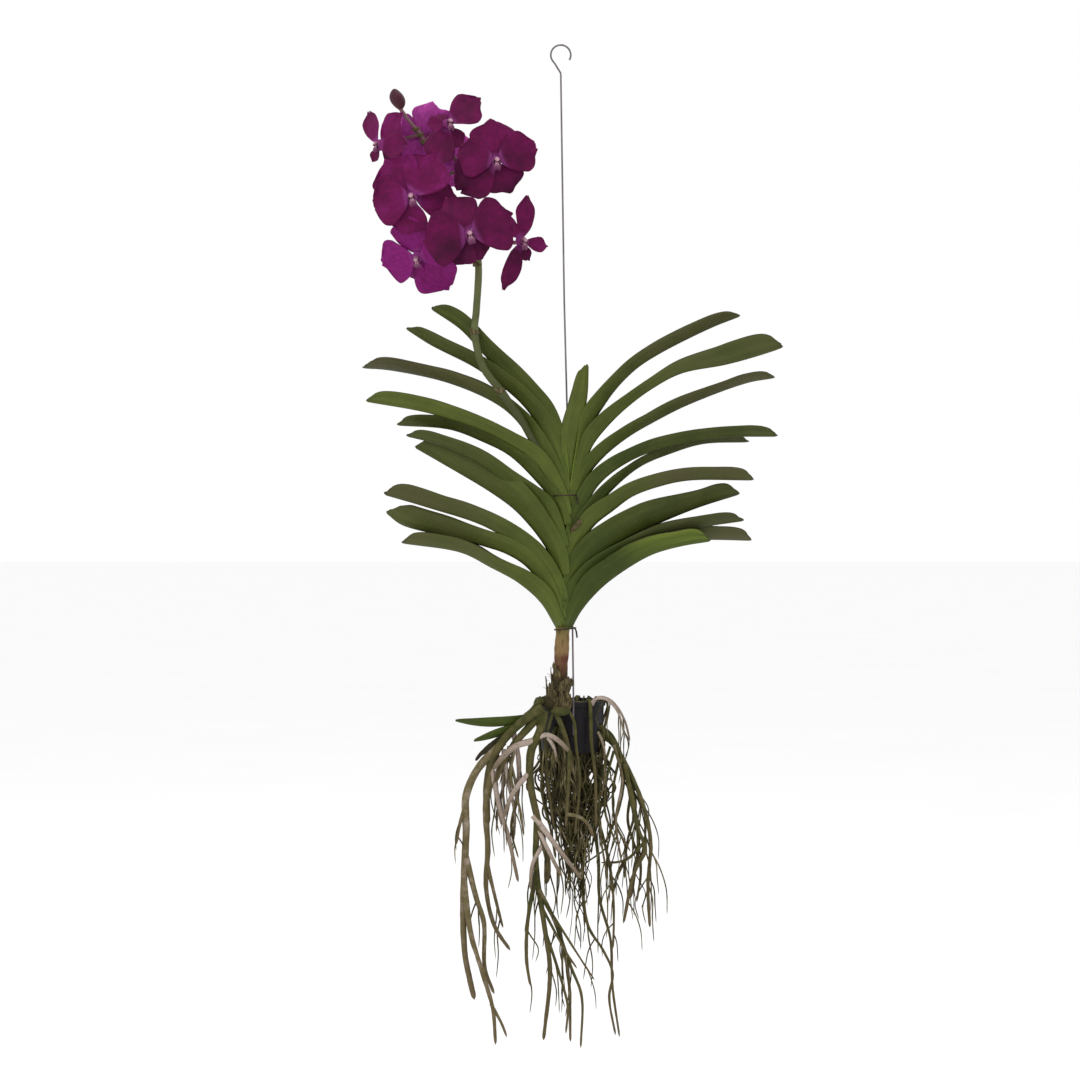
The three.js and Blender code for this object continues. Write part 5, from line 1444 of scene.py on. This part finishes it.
class VANDA_OT_blooms(bpy.types.Operator):
    """Nine open flowers: velvety tepals with lobed, waved margins, and their lips"""
    bl_idname = "vanda.blooms"
    bl_label = "Blooms"

    def execute(self, context):
        flowers = context.scene.vanda_flowers
        for number, spec in enumerate(BLOOMS, 1):
            bloom = Bloom(number, spec)
            add_piece(f"tepals_{number}", tepals_build(bloom, flowers).mesh("tepals"),
                      [f"bloom_{number}_tepals"], material_of("Velvet tepal"))
            add_piece(f"lip_{number}", lip_build(bloom).mesh("lip"),
                      [f"bloom_{number}_lip"], material_of("Waxy lip"))
        return {"FINISHED"}


# ---- spike and bud ----

def rachis_point(z):
    for low, high in zip(PEDUNCLE, PEDUNCLE[1:]):
        if high[2] > z:
            return Vector(low).lerp(Vector(high), (z - low[2]) / (high[2] - low[2]))
    return Vector(PEDUNCLE[-1])


def bract(build, z, radius, tall, seed):
    """A papery collar round the stalk that runs up into a point on one side."""
    centre = rachis_point(z)
    along = (rachis_point(z + 6) - centre).normalized()
    side = along.cross(Y_AXIS).normalized()
    front = along.cross(side)

    def point(share, v, face):
        turn = math.pi * v * 0.98
        reach = 0.35 + 0.65 * (0.5 + 0.5 * math.cos(turn)) ** 2
        wide = radius + 0.7 + 0.4 * share ** 2 + face + 0.2 * ripple(seed, turn, share * 2)
        return build.point(
            centre + along * (tall * share * reach)
            + (side * math.cos(turn) + front * math.sin(turn)) * wide
        )

    build.sheet((0.2, -0.2), shares(8), side_to_side(16), point)


class VANDA_OT_spike(bpy.types.Operator):
    """Flower stalk with its bracts and one ribbed stalk for each flower"""
    bl_idname = "vanda.spike"
    bl_label = "Flower spike"

    def execute(self, context):
        green = material_of("Stalk skin")
        stalk = []
        for place, share in smooth_route(PEDUNCLE, 4):
            node = sum(0.5 * math.exp(-(((place.z - z) / 5) ** 2)) for z in (-381, -317))
            radius = blend(PEDUNCLE_RADIUS, RACHIS_RADIUS, smooth(0.55, 0.95, share)) + node
            stalk.append((place, radius))
        collars = Build()
        for z, tall in ((-382, 10), (-320, 9), (-246, 6)):
            bract(collars, z, PEDUNCLE_RADIUS, tall, z)
        stalks = []
        for number, spec in enumerate(BLOOMS):
            bloom = Bloom(number + 1, spec)
            bract(collars, bloom.stalk_from - 2, RACHIS_RADIUS + 0.6, 6, number)
            foot = rachis_point(bloom.stalk_from)
            behind = bloom.place(0, 0, -15)
            middle = foot.lerp(behind, 0.55) + Z_AXIS * 3
            route = smooth_route([foot, middle, behind, bloom.place(0, 0, -4.8)], 2)
            stalks.append([(place, 1.5 + 0.9 * share) for place, share in route])
        bud_foot = (BUD_AT[0] + 4, BUD_AT[1], BUD_AT[2] - BUD_LENGTH / 2 + 1)
        budding = [(place, 1.6 + 0.5 * share) for place, share in smooth_route(
            [rachis_point(-104), rachis_point(-97), (-166, -40, -86), bud_foot], 2)]
        stalk_mesh = joined("flower_stalk", [
            strands("peduncle", [stalk], green, 3, 20, 0.5, 18),
            strands("pedicels", stalks, green, 1.5, 12, 0.9, 5, pale=1.0),
            strands("bud_stalk", [budding], green, 1.5, 12, 0.5, 6, pale=1.0),
        ])
        add_piece("flower_stalk", stalk_mesh, ["flower_spike"])
        add_piece("bracts", collars.mesh("bracts"), ["flower_spike"],
                  material_of("Papery sheath"))
        return {"FINISHED"}


class VANDA_OT_bud(bpy.types.Operator):
    """Closed bud at the tip of the spike, its sepals pressed together"""
    bl_idname = "vanda.bud"
    bl_label = "Bud"

    def execute(self, context):
        build = Build()
        x, y, z = BUD_AT
        sides = 48
        rows = []
        for share in shares(26):
            radius = BUD_RADIUS * math.sin(math.pi * (0.04 + 0.92 * share)) ** 0.7
            centre = Vector((x + 4 - 6 * share, y, z - BUD_LENGTH / 2 + BUD_LENGTH * share))
            line = []
            for k, turn in enumerate(turns(sides)):
                groove = abs(math.sin(1.5 * turn + 0.9 * share)) ** 0.35
                wide = radius * (0.9 + 0.1 * groove)
                line.append(build.point(
                    centre + X_AXIS * math.cos(turn) * wide + Y_AXIS * math.sin(turn) * wide,
                    (k / sides, share),
                    seam=0.35 * (1 - groove) * (1 - share * 0.5) + 0.3 * (1 - smooth(0, 0.25, share)),
                ))
            rows.append(line)
        build.skin(rows)
        add_piece("closed_bud", build.mesh("bud"), ["bud"], material_of("Bud skin"))
        return {"FINISHED"}


# ---- wire, ties and pot ----

class VANDA_OT_wire(bpy.types.Operator):
    """Steel hanger with its hook, and the foot that hooks through the pot"""
    bl_idname = "vanda.wire"
    bl_label = "Hanger wire"

    def execute(self, context):
        sizes = context.scene.vanda_wire
        radius, hook = sizes.radius / MM, sizes.hook / MM
        centre = Vector((0, 0, radius - hook))
        route = []
        for degrees in range(210, -51, -10):
            turn = math.radians(degrees)
            route.append(centre + Vector((-math.cos(turn), 0, math.sin(turn))) * hook)
        route += [Vector(point) for point in WIRE_ROUTE]
        mesh = strands("hanger", [[(point, radius) for point in route]],
                       material_of("Drawn steel"), 3, 14)
        add_piece("hanger", mesh, ["hanger_wire"])
        return {"FINISHED"}


class VANDA_OT_ties(bpy.types.Operator):
    """Two rings of thin binding wire, twisted shut"""
    bl_idname = "vanda.ties"
    bl_label = "Ties"

    def execute(self, context):
        radius = context.scene.vanda_wire.tie_radius / MM
        dark = material_of("Annealed wire")
        for name, (x, y, z, wide, deep, tilt) in (
            ("upper", (4.8, STEM_Y - 0.5, -492, 12.5, 14.5, 0.4)),
            ("lower", (4.5, STEM_Y + 1.5, -636, 11.5, 13, 1)),
        ):
            loop = [
                (Vector((x + wide * math.cos(a), y + deep * math.sin(a), z + tilt * math.cos(a))), radius)
                for a in turns(40)
            ]
            foot = Vector((x + wide * 0.9, y - 2, z + tilt))
            tail = [foot, foot + Vector((1.4, -4, -3)), foot + Vector((2.4, -6, -10))]
            twist = []
            for start in (0, math.pi):
                twist.append([
                    (place + at_turn((0, 0), 1, 6 * share * math.pi + start, 0) * 0.6, radius * 0.8)
                    for place, share in smooth_route(tail, 1)
                ])
            meshes = [strands("tie", [loop], dark, 1.5, 10, closed=True),
                      strands("twist", twist, dark, 1, 8)]
            add_piece("tie_ring_" + name, joined("tie", meshes), ["tie_" + name])
        return {"FINISHED"}


def pot_build(sizes):
    """The pot's wall as a grid of cells, with four slots left out and the floor's drain hole."""
    radius, tall, wall = sizes.radius / MM, sizes.height / MM, sizes.wall / MM
    lip, taper, drain = sizes.lip / MM, sizes.taper / MM, sizes.drain / MM
    floor = POT_RIM - tall
    foot = radius - taper
    slot_turn, slot_half, slots = 0.39, 0.165, 4
    slot_low, slot_high = floor + 9, floor + 31
    levels = [floor + 1, floor + 2.2, floor + 6, slot_low, floor + 14, floor + 20, floor + 26,
              slot_high, floor + 38, floor + 44, POT_RIM - 6.6, POT_RIM - 5.6, POT_RIM - 0.6]
    count = 144
    build = Build()

    def circle(wide, z):
        return [build.point(at_turn(POT_CENTRE, wide, turn, z)) for turn in turns(count)]

    def outside(z):
        share = (z - floor) / tall
        return foot + (radius - 1 - foot) * share + (lip + 1 if z > POT_RIM - 6 else 0)

    outer, inner = zip(*[(circle(outside(z), z), circle(outside(z) - wall, z)) for z in levels])

    def is_open(level, k):
        if not slot_low <= levels[level] < slot_high:
            return False
        turn = 2 * math.pi * (k + 0.5) / count + slot_turn
        step = 2 * math.pi / slots
        off = (turn + step / 2) % step - step / 2
        return abs(off) < slot_half

    last = len(levels) - 1
    for level in range(last):
        for k in range(count):
            n = (k + 1) % count
            cell = [(level, k), (level, n), (level + 1, n), (level + 1, k)]
            if not is_open(level, k):
                build.faces.append(tuple(outer[i][j] for i, j in cell))
                build.faces.append(tuple(inner[i][j] for i, j in cell[::-1]))
                for i, j, (p, q) in (
                    (level, k - 1, (cell[0], cell[3])), (level, n, (cell[1], cell[2])),
                    (level - 1, k, (cell[0], cell[1])), (level + 1, k, (cell[3], cell[2])),
                ):
                    if 0 <= i < last and is_open(i, j % count):
                        build.faces.append((
                            outer[p[0]][p[1]], outer[q[0]][q[1]], inner[q[0]][q[1]], inner[p[0]][p[1]],
                        ))
    edge = outside(POT_RIM)
    rim = [circle(edge - 0.5, POT_RIM), circle(edge - wall + 0.3, POT_RIM)]
    build.grid([outer[last], *rim, inner[last]], wrap=True)
    base = [
        circle(wide, z) for wide, z in (
            (foot - 0.8, floor), (drain, floor), (drain, floor + 2), (foot - wall - 0.6, floor + 2),
        )
    ]
    build.grid([outer[0], *base, inner[0]], wrap=True)
    return build


class VANDA_OT_pot(bpy.types.Operator):
    """Small slotted pot of black plastic"""
    bl_idname = "vanda.pot"
    bl_label = "Pot"

    def execute(self, context):
        mesh = pot_build(context.scene.vanda_pot).mesh("pot")
        mesh.set_sharp_from_angle(angle=math.radians(40))
        add_piece("slotted_pot", mesh, ["pot"], material_of("Moulded polypropylene"))
        return {"FINISHED"}


# ---- roots ----

def root_route(root):
    """The places and radii of one root of the tables."""
    start, tip, y_start, y_end, _, passes = root
    points = []
    for i, (x, z) in enumerate(passes):
        depth = blend(y_start, y_end, i / (len(passes) - 1))
        points.append((x, depth + 2 * math.sin(x * 0.11 + z * 0.05) * min(1, i), z))
    return tapered(points, start, tip, 4)


def root_meshes(roots, sizes, thick_from=2.5):
    """One mesh for each paleness and thickness among the roots."""
    material = material_of("Root velamen")
    groups = {}
    for root in roots:
        groups.setdefault((root[4], root[0] >= thick_from), []).append(root_route(root))
    return [
        strands("roots", routes, material, sizes.spacing / MM, 14 if thick else 9,
                sizes.swelling / MM * (2 if thick else 1), sizes.swelling_span / MM, pale)
        for (pale, thick), routes in groups.items()
    ]


def rootlets(draw, roots, count, spread, drop):
    """Fine branches that leave the given roots at random and hang down."""
    parents = [root_route(root) for root in roots]
    made = []
    for _ in range(count):
        parent = draw.choice(parents)
        place, radius = parent[draw.randrange(len(parent) // 4, len(parent) - 2)]
        turn = draw.uniform(0, 2 * math.pi)
        reach = draw.uniform(0.3, 1) * spread
        fall = draw.uniform(0.4, 1) * drop
        way = Vector((math.cos(turn), 0.6 * math.sin(turn), 0))
        points = [
            place, place + way * reach * 0.5 - Z_AXIS * fall * 0.25,
            place + way * reach * 0.9 - Z_AXIS * fall * 0.6 + X_AXIS * draw.uniform(-4, 4),
            place + way * reach * draw.uniform(0.6, 1.1) - Z_AXIS * fall,
        ]
        made.append(tapered(points, min(radius * 0.6, 1.0), 0.5, 5))
    return strands("branches", inside(made), material_of("Fine root"), 4, 6, 0.5, 9)


def inside(routes):
    """Only the routes that stay above the tips of the longest roots."""
    return [route for route in routes if min(place.z for place, _ in route) > LOWEST]


class VANDA_OT_roots(bpy.types.Operator):
    """Thick aerial roots to the left, in the middle and over the pot, with their branches"""
    bl_idname = "vanda.roots"
    bl_label = "Aerial roots"

    def execute(self, context):
        sizes = context.scene.vanda_roots
        draw = random.Random(sizes.seed)
        for name, roots, branches, drop in (
            ("left", LEFT_ROOTS, 26, 70), ("centre", CENTRE_ROOTS, 46, 80),
            ("front", FRONT_ROOTS, 22, 60),
        ):
            meshes = [*root_meshes(roots, sizes), rootlets(draw, roots, branches, 14, drop)]
            if name == "front":
                build = Build()
                build.tube(knuckle_rings(Vector((-1, -38, -724)), (10, 5, 5), 0.2, 5), pale=OLIVE)
                meshes.append(build.mesh("knuckle"))
                meshes[-1].materials.append(material_of("Root velamen"))
            add_piece("aerial_roots_" + name, joined("roots", meshes), ["roots_" + name])
        return {"FINISHED"}


def hanging_strand(draw, floor):
    """One fine root of the tangle: from the pot's base it drifts inwards, down and out again."""
    x, y = POT_CENTRE
    turn = draw.uniform(0, 2 * math.pi)
    start = draw.uniform(4, 30)
    drop = draw.uniform(60, 170) * (1 if draw.random() < 0.85 else 1.3)
    drift = draw.uniform(-8, 18)
    points = [at_turn(POT_CENTRE, start, turn, floor + 3)]
    for i in range(1, 9):
        share = i / 8
        waist = 1 + 0.5 * math.sin(math.pi * min(share * 1.5, 1)) - 0.8 * smooth(0.35, 0.9, share)
        sway = 11 * math.sin(math.pi * (0.15 + 0.75 * share))
        points.append(Vector((
            x + start * waist * math.cos(turn) + drift * share + draw.uniform(-sway, sway),
            y + start * waist * 0.9 * math.sin(turn) - 14 * share + draw.uniform(-sway, sway) * 0.7,
            floor - drop * share,
        )))
    thick = draw.uniform(0.7, 1.5)
    return tapered(points, thick, thick * 0.55, 5)


def skirt_strand(draw, floor, thinnest, thickest):
    """A root that leaves the pot over its rim or through a slot and hangs down beside its wall."""
    if draw.random() < 0.45:
        turn = math.radians(draw.uniform(-35, 215))
        way = [(31, POT_RIM - 5), (36, POT_RIM + 2.4), (40, POT_RIM - 4)]
    else:
        turn = math.radians(draw.choice(SLOT_TURNS) + draw.uniform(-6, 6))
        top = floor + draw.uniform(13, 28)
        way = [(28, top + 1), (34, top + 1), (38.5, top - 5)]
    reach, top = way[-1]
    fall = top - floor + draw.uniform(6, 120)
    for i in range(1, 6):
        share = i / 5
        way.append((reach - 2.5 - 17 * share ** 1.5 + draw.uniform(-3, 3) * share, top - fall * share))
    spin = draw.uniform(-0.5, 0.5)
    points = [at_turn(POT_CENTRE, wide, turn + spin * i / 7, z) for i, (wide, z) in enumerate(way)]
    thick = draw.uniform(thinnest, thickest)
    return tapered(points, thick, thick * 0.6, 4)


class VANDA_OT_tangle(bpy.types.Operator):
    """Root ball in the pot, the fine tangle below it and the bundle that leaves to the right"""
    bl_idname = "vanda.tangle"
    bl_label = "Root tangle"

    def execute(self, context):
        sizes = context.scene.vanda_roots
        draw = random.Random(sizes.seed + 100)
        floor = POT_RIM - context.scene.vanda_pot.height / MM
        nodes = ["roots_pot"]
        profile = [(2, POT_RIM - 4), (14, POT_RIM - 4.4), (25, POT_RIM - 5.4), (32.4, POT_RIM - 9),
                   (31.6, POT_RIM - 20), (31.2, floor + 20), (30.6, floor + 10), (29.5, floor + 4),
                   (18, floor + 2.6), (17, floor - 4), (15, floor - 14), (12, floor - 32), (4, floor - 42)]
        rings = []
        for wide, z in profile:
            places = []
            for turn in turns(48):
                rough = 1 + 0.05 * ripple(11, 4 * math.cos(turn), 4 * math.sin(turn), z / 7)
                bump = 1.2 * ripple(12, wide * math.cos(turn) / 6, wide * math.sin(turn) / 6)
                places.append(at_turn(POT_CENTRE, wide * rough, turn, z + bump))
            rings.append(places)
        build = Build()
        build.tube(rings)
        fine = material_of("Fine root")
        add_piece("root_ball", build.mesh("ball"), nodes, fine)
        hanging = [hanging_strand(draw, floor) for _ in range(sizes.fine)]
        coils = [coil_on_ball(draw) for _ in range(34)]
        skirt = [skirt_strand(draw, floor, 0.9, 1.5) for _ in range(44)]
        stout = [skirt_strand(draw, floor, 1.5, 2.3) for _ in range(14)]
        meshes = [
            strands("hanging", inside(hanging), fine, 4.5, 6, 0.6, 9),
            strands("coils", coils, fine, 3, 7, 0.6, 8),
            strands("skirt", skirt, fine, 4, 7, 0.6, 9),
            strands("stout", stout, material_of("Root velamen"), 4, 9, 0.9, 12, OLIVE),
        ]
        add_piece("root_tangle", joined("tangle", meshes), nodes)
        thick = [*RIGHT_ROOTS, *LONG_TANGLE]
        meshes = [*root_meshes(thick, sizes, 2.3), rootlets(draw, thick, 60, 22, 75)]
        add_piece("roots_right", joined("roots", meshes), nodes)
        return {"FINISHED"}


def coil_on_ball(draw):
    """A root that lies over the root ball's top or peeps out of a slot."""
    turn = draw.uniform(0, 2 * math.pi)
    wide = draw.uniform(5, 30)
    points = []
    for i in range(6):
        reach = min(wide + draw.uniform(-3, 3), 31)
        z = POT_RIM - 4 - 4.6 * smooth(22, 32, reach) + draw.uniform(-0.5, 1.4)
        points.append(at_turn(POT_CENTRE, reach, turn + i * 0.32, z))
    thick = draw.uniform(1, 2)
    return tapered(points, thick, thick * 0.8, 4)


# ---- stage ----

class VANDA_OT_stage(bpy.types.Operator):
    """Pale floor, soft studio light and the camera"""
    bl_idname = "vanda.stage"
    bl_label = "Stage"

    def execute(self, context):
        stage = context.scene.vanda_stage
        floor = bpy.data.meshes.new("floor")
        wide = 60.0
        floor.from_pydata(
            [(x * wide, y * wide, stage.floor) for x, y in ((-1, -1), (1, -1), (1, 1), (-1, 1))],
            [], [(0, 1, 2, 3)],
        )
        floor.materials.append(material_of("White studio paint"))
        ground = bpy.data.objects.new("floor", floor)
        context.collection.objects.link(ground)
        ground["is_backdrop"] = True
        target = Vector((0, 0, -0.5))
        for name, place, size, power in (
            ("key", (-1.5, -2.2, 0.9), 1.6, 14),
            ("top", (0.2, -0.4, 1.6), 1.6, 12),
        ):
            lamp = bpy.data.lights.new(name, "AREA")
            lamp.size = size
            lamp.energy = power
            light = bpy.data.objects.new(name, lamp)
            light.location = place
            light.rotation_euler = (target - Vector(place)).to_track_quat("-Z", "Y").to_euler()
            context.collection.objects.link(light)
        world = bpy.data.worlds.new("studio")
        world.use_nodes = True
        sky = world.node_tree.nodes["Background"]
        sky.inputs["Color"].default_value = (1, 1, 1, 1)
        sky.inputs["Strength"].default_value = 1.0
        context.scene.world = world
        context.scene.view_settings.view_transform = "Standard"
        lens = bpy.data.cameras.new("camera")
        lens.lens = stage.lens
        lens.sensor_width = 36
        lens.clip_end = 200
        camera = bpy.data.objects.new("camera", lens)
        camera.location = (stage.aim_x, STEM_Y * MM - stage.camera_distance, stage.aim_z)
        camera.rotation_euler = (math.radians(90), 0, 0)
        context.collection.objects.link(camera)
        context.scene.camera = camera
        return {"FINISHED"}


# ---- panel and registration ----

STEPS = ("stage", "wire", "ties", "pot", "leaves", "leafy_stem", "old_stem", "offshoot",
         "spike", "bud", "blooms", "roots", "tangle")


class VANDA_PT_panel(bpy.types.Panel):
    """Lists the pieces of the plant"""
    bl_idname = "VANDA_PT_panel"
    bl_label = "Vanda"
    bl_space_type = "VIEW_3D"
    bl_region_type = "UI"
    bl_category = "Vanda"

    def draw(self, context):
        for name in STEPS:
            self.layout.operator("vanda." + name)


GROUPS = {
    "vanda_colours": VandaColours,
    "vanda_leaves": VandaLeaves,
    "vanda_flowers": VandaFlowers,
    "vanda_roots": VandaRoots,
    "vanda_pot": VandaPot,
    "vanda_wire": VandaWire,
    "vanda_stage": VandaStage,
}
CLASSES = (
    *GROUPS.values(), VANDA_OT_stage, VANDA_OT_wire, VANDA_OT_ties, VANDA_OT_pot,
    VANDA_OT_leaves, VANDA_OT_leafy_stem, VANDA_OT_old_stem, VANDA_OT_offshoot,
    VANDA_OT_spike, VANDA_OT_bud, VANDA_OT_blooms, VANDA_OT_roots, VANDA_OT_tangle,
    VANDA_PT_panel,
)


def register():
    for one in CLASSES:
        bpy.utils.register_class(one)
    for name, group in GROUPS.items():
        setattr(bpy.types.Scene, name, PointerProperty(type=group))


def unregister():
    for name in GROUPS:
        delattr(bpy.types.Scene, name)
    for one in reversed(CLASSES):
        bpy.utils.unregister_class(one)


def main():
    register()
    for name in STEPS:
        getattr(bpy.ops.vanda, name)()
    boxes = [[list(corner) for corner in box] for box in (CAD_BOX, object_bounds())]


if __name__ == "__main__":
    main()
